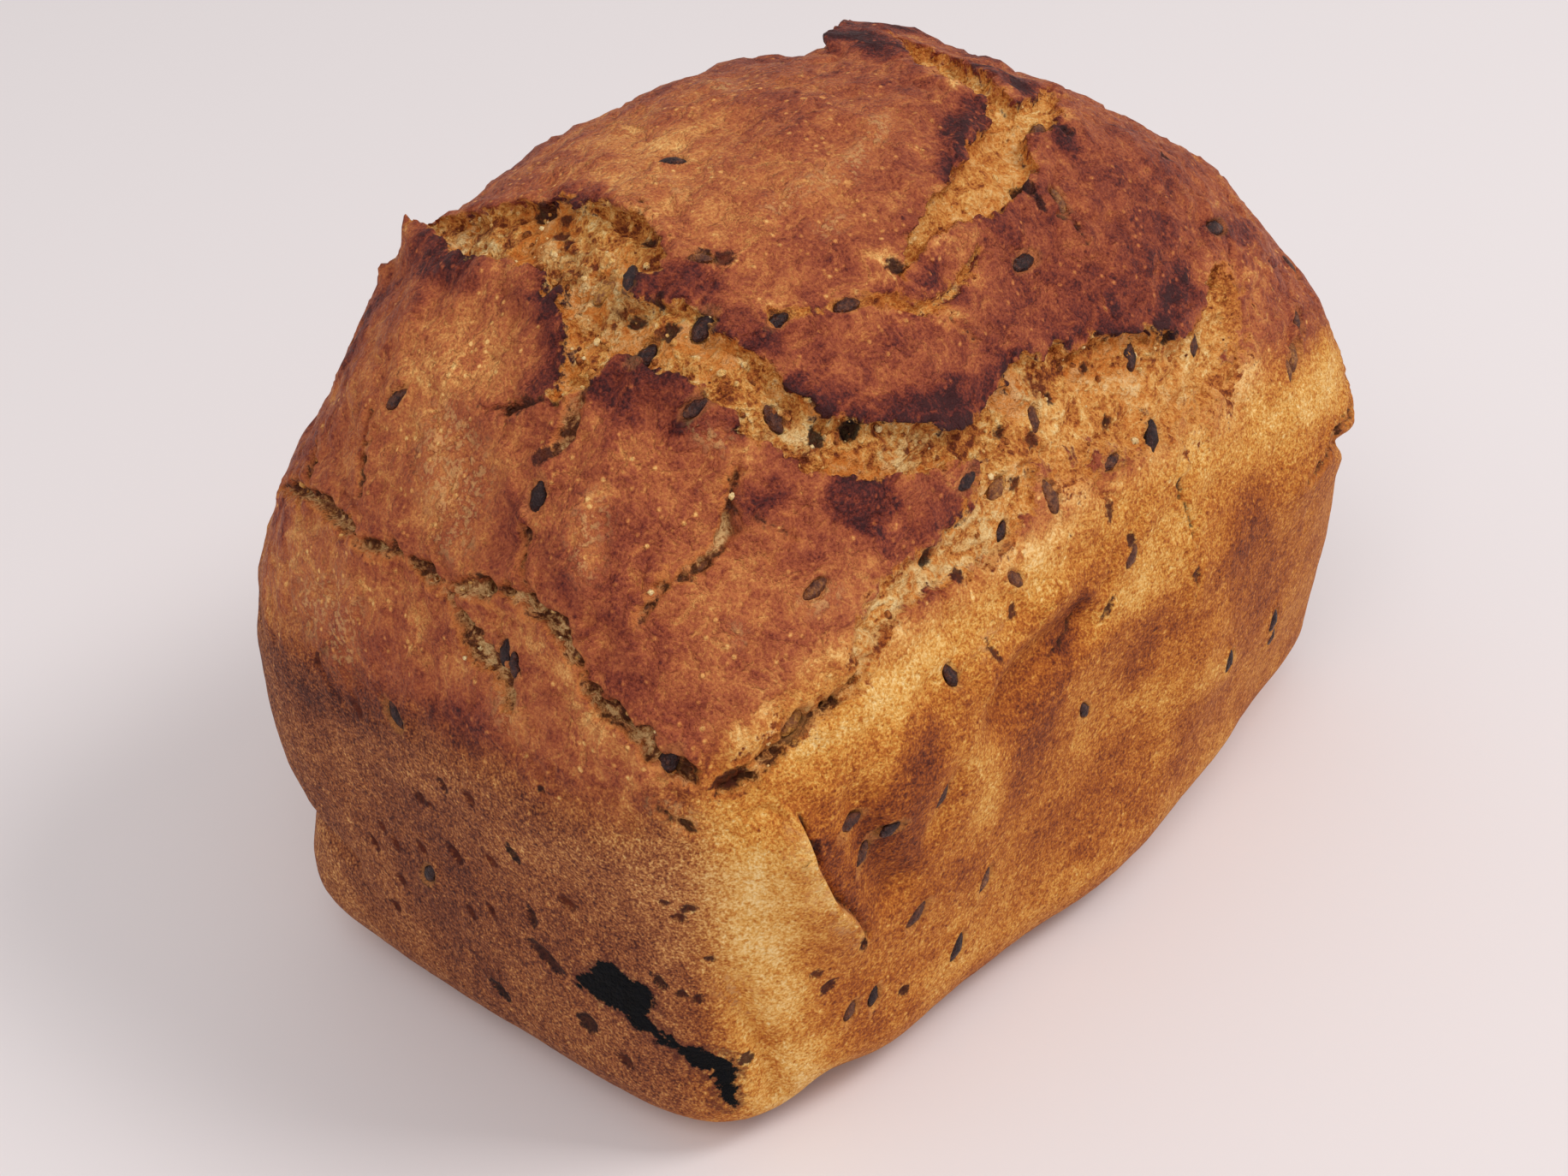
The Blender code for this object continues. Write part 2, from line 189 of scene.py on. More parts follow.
# Tears where the crust opened in the oven: depth, lip on the left, lip on the right, then
# the way along the tear as bearing, elevation and half width
TEARS = [
    (1.8, 0.9, 1.1, [(379, 69.2, 0.6), (372.5, 70, 2), (361.5, 71, 4.4), (349, 72, 5.4),
        (336.5, 72, 4.2), (329, 70.3, 3), (320, 69.5, 3.4), (307, 69.4, 4.2), (295, 69.1, 4.9),
        (281, 69.4, 4.6), (267, 69.3, 3.2), (256, 68.4, 2.5), (249, 67.2, 2.1), (243, 65.3, 1.5),
        (237.5, 62.3, 0.6)]),
    (1, 0.3, 0.3, [(234, 59.5, 1), (241, 58.5, 0.9), (249, 60, 0.9), (256, 62, 0.8),
        (263, 64, 0.5)]),
    (1.7, 1, 0.9, [(139, 47, 0.8), (147, 51, 2.5), (155, 53, 4.5), (163, 56, 6), (171, 57.5, 7),
        (179, 57, 7.5), (187, 55, 7), (194, 52.4, 5.6), (201, 50.6, 5), (208, 49, 5),
        (213.5, 46, 4.5), (219, 43.8, 4), (226, 43.2, 3.5), (233, 43.2, 3.5), (240, 43.2, 2.5),
        (247, 43.5, 3)]),
    (1.2, 0, 0.5, [(187, 52, 4.5), (188.5, 48, 3.5), (187.8, 45, 2), (187, 43.5, 0.8)]),
    (0.8, 0.2, 0.2, [(213, 55.5, 1.2), (217, 56.5, 0.5), (221, 57.3, 0.6), (226, 58.3, 0.9),
        (231, 59, 0.8), (236, 59.8, 0.6)]),
    (1.8, 0.3, 1.4, [(249, 43, 5), (256, 44, 7), (264, 44, 9), (273, 42.5, 9), (282, 40.5, 8.5),
        (291, 37, 7.5), (299, 34, 7), (306, 34, 6), (312, 37, 3.5)]),
    (1.1, 0.2, 0.5, [(250, 38, 6), (245, 34.5, 5), (240, 32.5, 4), (235, 31, 3.2), (230, 29.5, 3),
        (226.5, 27.5, 2.8), (224, 24.5, 2.4), (222.5, 21.5, 1.8), (220, 20, 1.6), (217, 18.6, 1.6),
        (214, 15.6, 1.8), (211.5, 14, 1.8)]),
    (1.4, 0.4, 0.4, [(312, 68, 1), (319, 66.6, 2.4), (326, 64.8, 2.8), (333, 62.8, 2),
        (339, 61, 0.6)]),
]

# Narrow cracks: depth, how much crumb shows in them, then bearing, elevation and half width
CRACKS = [
    (3.2, 1, [(150, 21, 0.4), (154, 23, 1.2), (158, 24.2, 1.5), (163, 24.8, 1.4), (169, 24.8, 1.5),
        (175, 25.4, 1.4), (181, 25, 1.5), (186, 25.8, 1.3)]),
    (3.8, 1, [(186, 25.8, 1.2), (190, 26.8, 1.3), (193.5, 26, 1.5), (196.5, 24.4, 1.7),
        (198.7, 22.4, 1.8), (200, 20.3, 1.7), (203, 18.6, 1.6), (206, 17, 1.9), (208.5, 14.8, 1)]),
    (3.4, 1, [(181, 24.4, 0.9), (184, 22.6, 2.2), (187, 20.8, 2.5), (190, 19.4, 1.8),
        (191, 17, 0.8)]),
    (2, 0.85, [(190, 45.5, 0.5), (190.3, 41.5, 1.1), (189.6, 38.5, 1)]),
    (2, 0.6, [(189.3, 32, 1), (190, 29.8, 1.1), (191, 27.5, 0.6)]),
    (2.2, 1, [(210.5, 40, 0.5), (210, 36, 1.1), (209.8, 33.6, 1.3), (208, 31.6, 1.1),
        (205.8, 30.3, 1.1), (203.6, 27, 0.5)]),
    (1, 0.3, [(213, 36.2, 0.4), (215, 35.5, 0.6), (217, 34.8, 0.4)]),
    (1.4, 0.8, [(246.5, 57.3, 0.5), (248.5, 56, 0.9), (250.5, 54.8, 0.5)]),
    (0.9, 0, [(286.8, 30, 0.25), (287.5, 22, 0.45), (288.5, 14, 0.45), (287.5, 5, 0.25)]),
    (2.8, 0.6, [(312, 7.8, 0.5), (317, 8.3, 1.8), (322, 8.8, 2.2), (328, 9, 1.6),
        (336, 9.4, 0.5)]),
    (1.6, 0, [(176, 63.8, 0.4), (178.5, 64, 0.9), (182, 63.6, 0.4)]),
    (1.8, 0, [(176, 39.8, 0.5), (178, 40.4, 0.9), (181.5, 41.5, 1), (184, 42.2, 0.8),
        (187.5, 43, 0.6)]),
    (1, 0, [(261.5, 18, 0.3), (260, 15.5, 0.6), (257.5, 13.6, 0.6), (254, 12.4, 0.3)]),
    (1.8, 0.5, [(206.6, 12.2, 0.5), (208, 11.2, 1.1), (209.2, 10, 0.5)]),
    # A thin dark line at the foot of the corner fold, on its overhung side: painted shadow over a
    # shallow groove
    (1.2, 0, [(216.6, 10.5, 0.3), (218, 6.5, 0.5), (218.9, 3, 0.55), (219.9, -0.8, 0.55),
        (221.7, -4.5, 0.5), (223.2, -8.5, 0.35)]),
    (2.4, 0.75, [(223.4, 22.8, 0.5), (222, 20.6, 1), (219.8, 19.4, 1.2), (217.2, 18, 0.9),
        (215.6, 16, 1.2), (213, 14.4, 0.9), (211, 13.6, 0.8)]),
    (2, 0.3, [(162, 34.5, 0.4), (163.5, 32, 0.9), (165.5, 29.5, 0.8), (166.5, 28, 0.4)]),
    (2.2, 0.5, [(155, 28, 0.5), (157, 26.4, 1.2), (158.5, 24.8, 1)]),
    (1.2, 0, [(294, 61, 0.3), (295, 59, 0.7), (293.5, 57, 0.4)]),
]

# Folds and wrinkles left by the tin: height, reach to the left and right of the way, then the way
# as bearing, elevation and 1. A fold that is much steeper on its left hangs over a little there.
FOLDS = [
    (2.5, 0.9, 4.6, [(215.2, 12, 0), (216.2, 9.5, 0.8), (217.7, 3.5, 1), (218.8, -0.5, 1),
        (220.8, -4.5, 0.8), (222.2, -8.5, 0.4), (223, -13, 0)]),
    (-2.2, 3.2, 3.2, [(222.5, 9, 1), (224, 3, 1), (225, -1, 1), (226.5, -5, 1)]),
    (-3.2, 5, 5, [(260, 16, 1), (254, 14.5, 1), (248, 13, 1), (243, 11, 1)]),
    (1.2, 2.5, 2.5, [(262, 19, 1), (255, 19.5, 1), (247, 18, 1), (240, 14.5, 1), (236, 9, 1)]),
    (-1.2, 2.5, 2.5, [(238, 12, 1), (234, 6, 1), (231, 0, 1)]),
    (-1.4, 1.6, 1.6, [(152, -12, 1), (158, -12.5, 1), (164, -13.5, 1)]),
    (0.9, 3, 3, [(36, 65.5, 1), (27, 62, 1), (17, 60, 1), (8, 59, 1), (0, 60, 1)]),
    (1.5, 0.9, 8, [(33, 77, 0), (30.5, 73, 1), (29, 69, 1), (28.5, 64, 1), (28, 59.5, 1),
        (26, 56, 0)]),
    (-2.2, 1.4, 1.4, [(317, 8.8, 0), (319.5, 7.3, 1), (322.5, 5.3, 1), (325.3, 3.2, 1),
        (328, 1.4, 1), (331, -0.3, 0)]),
    (-1.3, 1.8, 1.8, [(210.5, -5, 0.4), (211.4, -8, 0.8), (212.2, -12, 1), (213.5, -17, 1),
        (214, -23, 1)]),
]

# Broad swells and hollows: height, reach, bearing, elevation
SWELLS = [
    (1.8, 22, 228, 10), (1.6, 16, 322, 14), (-2, 16, 150, 30), (1.2, 8, 156, -20),
    (-1.2, 14, 200, -4), (1.2, 14, 209, 18), (1, 12, 195, 35), (1, 14, 235, 52),
    (2.2, 14, 290, -10), (-1, 20, 270, -5), (1.2, 20, 90, 10), (-1, 25, 60, 0), (-2.2, 19, 0, 55),
    (-3.1, 7.5, 47.5, 60), (-2.6, 7.5, 51, 70), (-0.7, 7, 30, 60), (1.4, 9, 123, 59),
    (2.2, 4.8, 144, 47.2), (2.4, 2, 141.5, 47.4), (1.8, 4.5, 143, 41), (1.6, 1.6, 142.8, 42.6),
    (-1.4, 10, 85, 78), (2.2, 5.2, 205, 48.4), (1, 3, 209.5, 46.2), (0.9, 2.4, 251, 20.5),
    (0.8, 2, 256, 22), (0.7, 1.8, 260, 21), (1.5, 12, 154, -3), (-2.6, 5, 152, -13),
    (1.8, 9, 209, -27), (-2.2, 5, 219, -29), (2.2, 16, 268, -35), (1.2, 13, 283, -31),
    (-2.8, 17, 317, -27), (1.4, 12, 338, 33), (-0.9, 6, 324, -1), (-3, 5, 42, 55),
    (-2.2, 3.5, 41, 62), (-1.2, 3, 40, 69), (-2.4, 5, 45, 49.5), (-1.7, 2.8, 43.5, 65.8),
]

# Tears whose far side runs out softly into the wall, by number, and how steep that side stays
SOFT_SIDED = {5: 0.22, 6: 0.55}

# Bits of crust left standing in the tears, as bearing, elevation and half width
ISLANDS = [
    [(190.8, 55.2, 1.4), (193.5, 55.8, 2.8), (197, 56.8, 3), (200, 57.5, 2.2)],
    [(205.5, 53.5, 1.4), (209, 53.2, 2.2), (212.5, 52.3, 2.2)],
    [(206, 44.6, 1), (208.5, 44.2, 1.4)],
]

# The crust's own unevenness: size of the lumps, detail, place in the noise, height on the walls
# and what the dome adds. The dome also has fine wrinkles, drawn out across the loaf.
UNEVEN = [(26.0, 2, 3.0, 0.5, 0.7), (7.0, 3, 11.0, 0.16, 0.34), (3.4, 2, 91.0, 0.0, 0.3)]
WRINKLES_DRAWN, WRINKLE_WIDTH, WRINKLE_DEPTH = (0.6, 1.0, 1.0), 0.16, 0.55
SPOT_REACH = 8.0


def torn_open(points):
    """The tears at each point: how far past their edge, how far open, how deep, lip and curl."""
    ragged = lumps(points, 4.5, 3, 29.0)
    jagged = lumps(points, 1.6, 2, 31.0)
    edge = np.full(len(points), FAR)
    opened_most = np.zeros(len(points))
    depth = np.zeros(len(points))
    lip = np.zeros(len(points))
    curl = np.zeros((len(points), 3))
    kept = np.full(len(points), -FAR)
    for stops in ISLANDS:
        gap, _, wide, _ = beside(points, stops)
        kept = np.maximum(kept, wide * (1.0 + 0.3 * ragged) + 0.5 * jagged - gap)
    for number, (deep, left_lip, right_lip, stops) in enumerate(TEARS):
        gap, side, wide, inward = beside(points, stops)
        past = gap - wide * (1.0 + 0.34 * ragged) + 0.55 * jagged
        past = np.maximum(past, kept)
        soft = SOFT_SIDED.get(number, 1.0)
        past = np.where((side < 0) & (past > -0.6 * wide),
                        (past + 0.6 * wide) * soft - 0.6 * wide * soft, past)
        opened = 1.0 - ramp(past, -1.2, 0.35)
        edge = np.minimum(edge, past)
        opened_most = np.maximum(opened_most, opened)
        depth = np.maximum(depth, deep * opened)
        height = np.where(side > 0, left_lip, right_lip * soft)
        lip = np.maximum(lip, height * hump(past, 1.4, 2.4))
        over = 0.9 * height * hump(past, 0.6, 0.8) - 0.5 * height * hump(past, -0.7, 0.8)
        curl += inward * over[:, None]
    return edge, opened_most, depth, lip, curl


def across_spot(points, bearing, elevation, turn, reach):
    """Offsets of the points near a place along a line turned from level, and across it."""
    middle = at_bearing(bearing, elevation)[0]
    here = np.flatnonzero(np.linalg.norm(points - middle, axis=1) < reach)
    out = facing(bearing, elevation)[0]
    flat = np.cross((0.0, 0.0, 1.0), out)
    flat /= np.linalg.norm(flat)
    rise = np.cross(out, flat)
    along = flat * math.cos(math.radians(turn)) + rise * math.sin(math.radians(turn))
    off = points[here] - middle
    return np.stack([off @ along, off @ np.cross(out, along)], axis=1), here


def relief(points):
    """Height of the real crust over the smooth loaf, its sideways curl and the edges' distances."""
    domed = ramp(points[:, 2], *DOME_STARTS)
    height = np.zeros(len(points))
    for size, detail, shift, everywhere, more_on_dome in UNEVEN:
        height += lumps(points, size, detail, shift) * (everywhere + more_on_dome * domed)
    wrinkle = np.abs(lumps(points * WRINKLES_DRAWN, 7.0, 2, 97.0))
    height -= WRINKLE_DEPTH * domed * np.maximum(WRINKLE_WIDTH - wrinkle, 0.0) / WRINKLE_WIDTH
    for swell, reach, bearing, elevation in SWELLS:
        away = np.linalg.norm(points - at_bearing(bearing, elevation), axis=1)
        height += swell * hump(away, 0.0, reach)
    edge, torn, depth, lip, curl = torn_open(points)
    seam = np.full(len(points), FAR)
    for fold, left, right, stops in FOLDS:
        gap, side, value, inward = beside(points, stops)
        height += fold * value * hump(gap, 0.0, np.where(side > 0, left, right))
        if right > 4.0 * left:
            curl -= inward * (side * 0.06 * right ** 2 * value * hump(gap, 0.0, 1.3))[:, None]
            seam = np.minimum(seam, gap)
    height += lip * (1.0 - torn) - depth + 0.7 * lumps(points, 3.2, 3, 47.0) * torn
    height += (0.10 * domed + 0.34 * torn) * lumps(points, 1.7, 2, 83.0)
    ragged = lumps(points, 4.5, 3, 29.0)
    jagged = lumps(points, 1.2, 2, 37.0)
    crack = np.full(len(points), FAR)
    filled = np.zeros(len(points))
    for deep, crumb_share, stops in CRACKS:
        gap, side, wide, _ = beside(points, stops)
        wide = 0.80 * wide * (1.0 + 1.3 * ragged)
        past = gap + 0.55 * jagged - wide
        height -= 0.62 * deep * (1.0 - ramp(past, -1.2, 0.1))
        height += 0.35 * hump(past, 0.9, 0.9)
        # Crumb shows less on the side under the plate's lip, which is kept dark as painted shadow
        lower_side = np.clip(gap * side / np.maximum(wide, 0.3), -1.0, 1.0)
        filled = np.where(past < crack, crumb_share * (0.62 - 0.38 * lower_side), filled)
        crack = np.minimum(crack, past)
    dent = np.full(len(points), -SPOT_REACH)
    for bearing, elevation, length, width, turn, deep, _ in DENTS:
        off, here = across_spot(points, bearing, elevation, turn, SPOT_REACH)
        share = np.sqrt((off[:, 0] / length) ** 2 + (off[:, 1] / (1.25 * width)) ** 2) * 1.7
        height[here] -= deep * (1.0 - ramp(share, 0.2, 1.25))
        dent[here] = np.maximum(dent[here], (1.0 - share) * width / 2)
    ring = np.full(len(points), SPOT_REACH)
    for bearing, elevation, length, turn, _ in SEEDS:
        off, here = across_spot(points, bearing, elevation, turn, SPOT_REACH)
        share = np.sqrt((off[:, 0] / length) ** 2 + (off[:, 1] / (length * SEED_WIDTH)) ** 2) * 2.0
        away = (share - 1.0) * length * (0.5 * SEED_WIDTH + 0.12)
        height[here] += 0.22 * hump(away, 0.7, 0.5) - 0.45 * (1.0 - ramp(away, -0.3, 0.35))
        ring[here] = np.minimum(ring[here], away)
    return height, curl * (1.0 - 0.4 * torn)[:, None], edge, crack, dent, ring, seam, filled


def settled(points, outward):
    """The finished crust, kept flat on the base, with its edges' distances."""
    near_base = ramp(points[:, 2], 0.0, 10.0)
    level = np.ones_like(near_base)
    outward = outward * np.stack([level, level, near_base], axis=1)
    height, curl, *marks = relief(points)
    lift = (height * ramp(points[:, 2], 0.0, 4.0))[:, None]
    return points + outward * lift + curl, marks


# Small pits and dark flecks: bearing, elevation, length, width, turn from level, depth, blackness
DENTS = [
    (182.5, 5.7, 2, 1.1, 110, 0.5, 0.35), (186.2, 6, 1.8, 1.1, 120, 0.4, 0.1),
    (178.3, 1.9, 2, 1.4, 100, 0.5, 0.2), (179.6, 1.7, 1.2, 0.8, 20, 0.3, 0.1),
    (170.7, -5.9, 1.6, 0.9, 120, 0.3, 0), (168.8, -8.9, 2, 0.9, 125, 0.4, 0.1),
    (172.5, -7, 2.2, 0.9, 115, 0.4, 0.1), (176.8, -5.2, 2.4, 1, 130, 0.4, 0.1),
    (182, -3.2, 3.2, 1.3, 130, 0.6, 0.2), (187.3, -1, 2.2, 1, 160, 0.4, 0),
    (172, -11.9, 1.8, 1.2, 120, 0.4, 0.1), (170, -16.4, 1.8, 1.2, 130, 0.4, 0.1),
    (182.7, -10.2, 2.2, 0.9, 120, 0.4, 0.15), (185.8, -8.2, 1.9, 0.8, 115, 0.4, 0.1),
    (196, -1.9, 2.4, 1.1, 150, 0.5, 0.1), (191.3, -6, 3, 1.1, 95, 0.6, 0.5),
    (190.6, 1.6, 2.4, 0.9, 125, 0.4, 0.7), (195.2, 10.8, 1, 0.5, 10, 0.2, 0.6),
    (171, 8.5, 2.6, 1, 130, 0.3, 0.1), (165.5, 11.2, 1.6, 0.9, 90, 0.3, 0.1),
    (208.4, 1.9, 1.5, 0.9, 20, 0.4, 0.3), (207.4, 0.7, 1.6, 0.9, 20, 0.4, 0.2),
    (206.2, 2.3, 1, 0.8, 20, 0.3, 0.2), (209.7, -4.2, 1, 0.7, 0, 0.3, 0.5),
    (204.9, -7.6, 2.4, 1, 120, 0.5, 0.7), (206.8, -8.7, 1.3, 1, 30, 0.4, 0.4),
    (208.2, -9.2, 1.2, 0.8, 60, 0.4, 0.4), (219.3, -12.3, 2.2, 1.3, 45, 0.4, 0.3),
    (218.2, -9.6, 1.2, 0.9, 0, 0.3, 0.1), (227.5, -21.2, 1.5, 1.2, 0, 0.5, 0.4),
    (222.2, -8.2, 2.6, 0.8, 100, 0.8, 0.5), (218.4, 7.1, 1, 0.8, 0, 0.3, 0.6),
    (211.8, -17.2, 1.8, 1.5, 0, 0.3, 0.5), (184.6, -19.3, 3.4, 1.4, 145, 0.5, 0.85),
    (200.3, -18.8, 2.4, 1.2, 150, 0.4, 0.3), (196.3, -16.4, 3, 2.4, 60, 0.7, 0.7),
    (224.4, 45.2, 2.4, 1.5, 0, 1.4, 0.95), (220, 44.2, 2, 1.6, 70, 1.2, 0.5),
    (198.3, 60.6, 1.5, 1.2, 0, 0.7, 0.45), (202.3, 60.8, 2.2, 1.5, 30, 0.5, 0.2),
    (235.4, 62.8, 1.8, 1.1, 60, 0.8, 0.6), (240.2, 63.3, 1, 0.7, 0, 0.4, 0.3),
    (159.5, 58.8, 3, 2, 30, 1, 0.4), (167, 58, 1.8, 1.2, 30, 0.5, 0.1),
    (170.5, 57.7, 1.2, 1, 0, 0.5, 0.3), (195.6, 54.6, 1.4, 1.1, 0, 0.5, 0.4),
    (198.5, 52, 2.2, 1.4, 60, 0.7, 0.5), (192.5, 52.6, 2.4, 1, 10, 0.5, 0.4),
    (258.2, 42, 1.6, 1.1, 60, 0.5, 0.2), (251.8, 37.6, 1.5, 1.2, 60, 0.5, 0.2),
    (269.7, 28.6, 2.2, 0.7, 80, 0.3, 0.1), (273.6, 22.4, 1.8, 1.3, 60, 0.5, 0.4),
    (266.6, 14.8, 2.2, 0.7, 40, 0.4, 0.4), (287.4, 9.6, 1.4, 0.9, 100, 0.4, 0.4),
    (241.2, 18.9, 2.6, 0.7, 110, 0.4, 0.3), (237.6, 29.2, 1.8, 1.2, 30, 0.6, 0.3),
    (233.2, 32, 1.8, 1, 80, 0.8, 0.5), (328.5, 47.5, 1.6, 1.2, 0, 0.5, 0.4),
    (321, 62, 2.2, 1.3, 0, 0.8, 0.5), (165, 59.6, 1.4, 1, 0, 0.4, 0.1),
    (311, 38.5, 1.4, 1, 80, 0.5, 0.6), (296.5, 41, 2, 0.9, 20, 0.6, 0.7),
    (266.5, 45.5, 1.4, 1, 20, 0.5, 0.4), (278, 46, 1.8, 0.9, 20, 0.5, 0.4),
    (252.5, 44, 1.2, 0.9, 0, 0.5, 0.3), (277.5, 38.5, 1.5, 1, 45, 0.5, 0.3),
    (192.3, -10.4, 5.4, 1.7, 148, 0.6, 0.55), (246, 22.5, 1.8, 1, 60, 0.4, 0.2),
    (188.5, 38.3, 2, 1.4, 70, 0.4, 0.35), (211.7, 14.4, 3.6, 1.6, 10, 0.6, 0.2),
    (294, 65.5, 2.4, 1.6, 60, 0.9, 0.6), (292, 63.5, 2, 1.2, 80, 0.7, 0.45),
    (186, 61, 1.6, 1, 20, 0.4, 0.5),
]

# Where flax seeds sit in the crust: bearing, elevation, length, turn from level, and how toasted,
# from 0, golden, to 1. The crust has a shallow seat with a low rim for each.
SEED_WIDTH = 0.5
SEEDS = [
    (165, 37, 4.4, 60, 0.8), (189.5, 35, 5, 95, 1), (189.6, 21.3, 3.8, 95, 1),
    (191, 20.6, 3.6, 110, 0.9), (320.5, 40, 5, -20, 0.9), (276, 60.5, 5, 0, 0.9),
    (225.5, 58.3, 4.6, 0, 0.7), (213.5, 55.3, 4.2, 20, 1), (203, 53.3, 5.2, 55, 0.9),
    (196, 49.3, 5, 70, 0.9), (189.5, 55.7, 4.6, 110, 1), (184.5, 54.5, 4.2, 80, 0.1),
    (170, 71, 4.2, 30, 0.9), (198, 60, 3.6, 0, 0.5), (298, 61.5, 4.6, 70, 0.4),
    (285.3, 32.5, 5.4, 65, 1), (274, 34, 4.6, 5, 0.7), (258, 34.5, 5.6, 100, 0.5),
    (247.3, 32.5, 3.4, 40, 0.9), (247.3, 26.5, 4.2, 130, 0.5), (234.3, 18.5, 4.1, 110, 0.9),
    (232.3, 4.5, 4.6, 60, 0.8), (222, 7.3, 4.4, 10, 0.7), (225.7, 4.7, 3.8, 10, 0.9),
    (223.3, 2, 4.4, 60, 0.6), (229.3, -11.5, 5, 40, 0.7), (235.5, -23, 5.4, 70, 1),
    (240, -16, 5, 70, 0.6), (224, -18.5, 4.2, 80, 1), (221.5, -18, 4, 70, 0.6),
    (261.5, -1, 4, 120, 0.8), (298, -11.5, 4.4, 80, 0.9), (310.5, -12, 4.4, 85, 0.9),
    (311.5, -15, 3.8, 80, 0.8), (289, 43, 5, 75, 0.9), (317, 22, 5.2, 60, 0.35),
    (315, 21.6, 4.2, 80, 0.4), (273.3, 20, 4, 40, 0.6), (261, 44, 4.4, 70, 0.6),
    (248.5, 37.8, 4.6, 20, 0.3), (177, -8.5, 4.6, 60, 1), (176.5, 10.5, 4.8, 130, 0.9),
    (219, 30, 4.2, 20, 0.5), (241, 39.5, 4, 10, 0.9), (303, 36, 4.2, 60, 0.7),
    (320.5, 24, 4.2, 50, 0.7), (329, 25, 4.6, 60, 0.7), (207, 16, 5, 60, 0.9),
    (217, 18.5, 4.4, 40, 0.2), (205, 45, 4, 30, 0.8), (321.5, 64.6, 4.8, 10, 0.5),
    (214.5, 45.8, 4.4, 100, 0.7),
]


def shown(name, data):
    """A new object in the scene."""
    thing = bpy.data.objects.new(name, data)
    bpy.context.scene.collection.objects.link(thing)
    return thing


def shaped(name, shape):
    """A bmesh shape, as a mesh with smooth faces."""
    mesh = bpy.data.meshes.new(name)
    shape.to_mesh(mesh)
    shape.free()
    mesh.shade_smooth()
    return mesh


def moved(shape, spots):
    """The corners of a shape put on new places."""
    for corner, spot in zip(shape.verts, spots):
        corner.co = spot


def places_of(shape):
    """Where the corners of a shape are, one row each."""
    return np.array([v.co for v in shape.verts])


box = bmesh.new()
bmesh.ops.create_cube(box, size=1.0)
for axis, extent in enumerate((LENGTH, WIDTH, HEIGHT)):
    along = [e for e in box.edges if abs((e.verts[0].co - e.verts[1].co)[axis]) > 0.5]
    bmesh.ops.subdivide_edges(box, edges=along, cuts=round(extent / SKIN_STEP) - 1,
                              use_grid_fill=True)
for corner in box.verts:
    x, y, z = corner.co
    corner.co = Vector((x * LENGTH, y * WIDTH, (z + 0.5) * HEIGHT - HEART))
moved(box, onto_crust(places_of(box)))
underside = [f for f in box.faces if max(v.co.z for v in f.verts) == 0.0]
bmesh.ops.dissolve_faces(box, faces=underside, use_verts=True)

# Finer faces along the tears, cracks, pits and seeds, halved twice
for reach in FINE_REACHES:
    _, _, edge, crack, dent, ring, seam, _ = relief(places_of(box))
    near = np.minimum(np.minimum(np.abs(edge + 0.3), np.abs(crack + 0.4)),
                      np.minimum(-dent, np.abs(ring)))
    near = np.minimum(near, seam - 1.6)
    near = np.minimum(near, edge + 1.3) if reach > 1.0 else near
    box.verts.index_update()
    fine = [f for f in box.faces
            if len(f.verts) == 4 and min(near[v.index] for v in f.verts) < reach]
    lines = list({e for f in fine for e in f.edges})
    bmesh.ops.subdivide_edges(box, edges=lines, cuts=1, use_grid_fill=True)
    crust = onto_crust(places_of(box) - (0.0, 0.0, HEART))
    moved(box, crust)
box.normal_update()
place, marks = settled(crust, np.array([v.normal for v in box.verts]))
edge, crack, dent, ring, _, filled = marks
moved(box, [(Vector(spot) + Vector(CENTRED)) * MM for spot in place])
bmesh.ops.triangulate(box, faces=[f for f in box.faces if len(f.verts) > 4])
loaf_mesh = shaped("loaf_crust", box)
loaf = shown("loaf_crust", loaf_mesh)
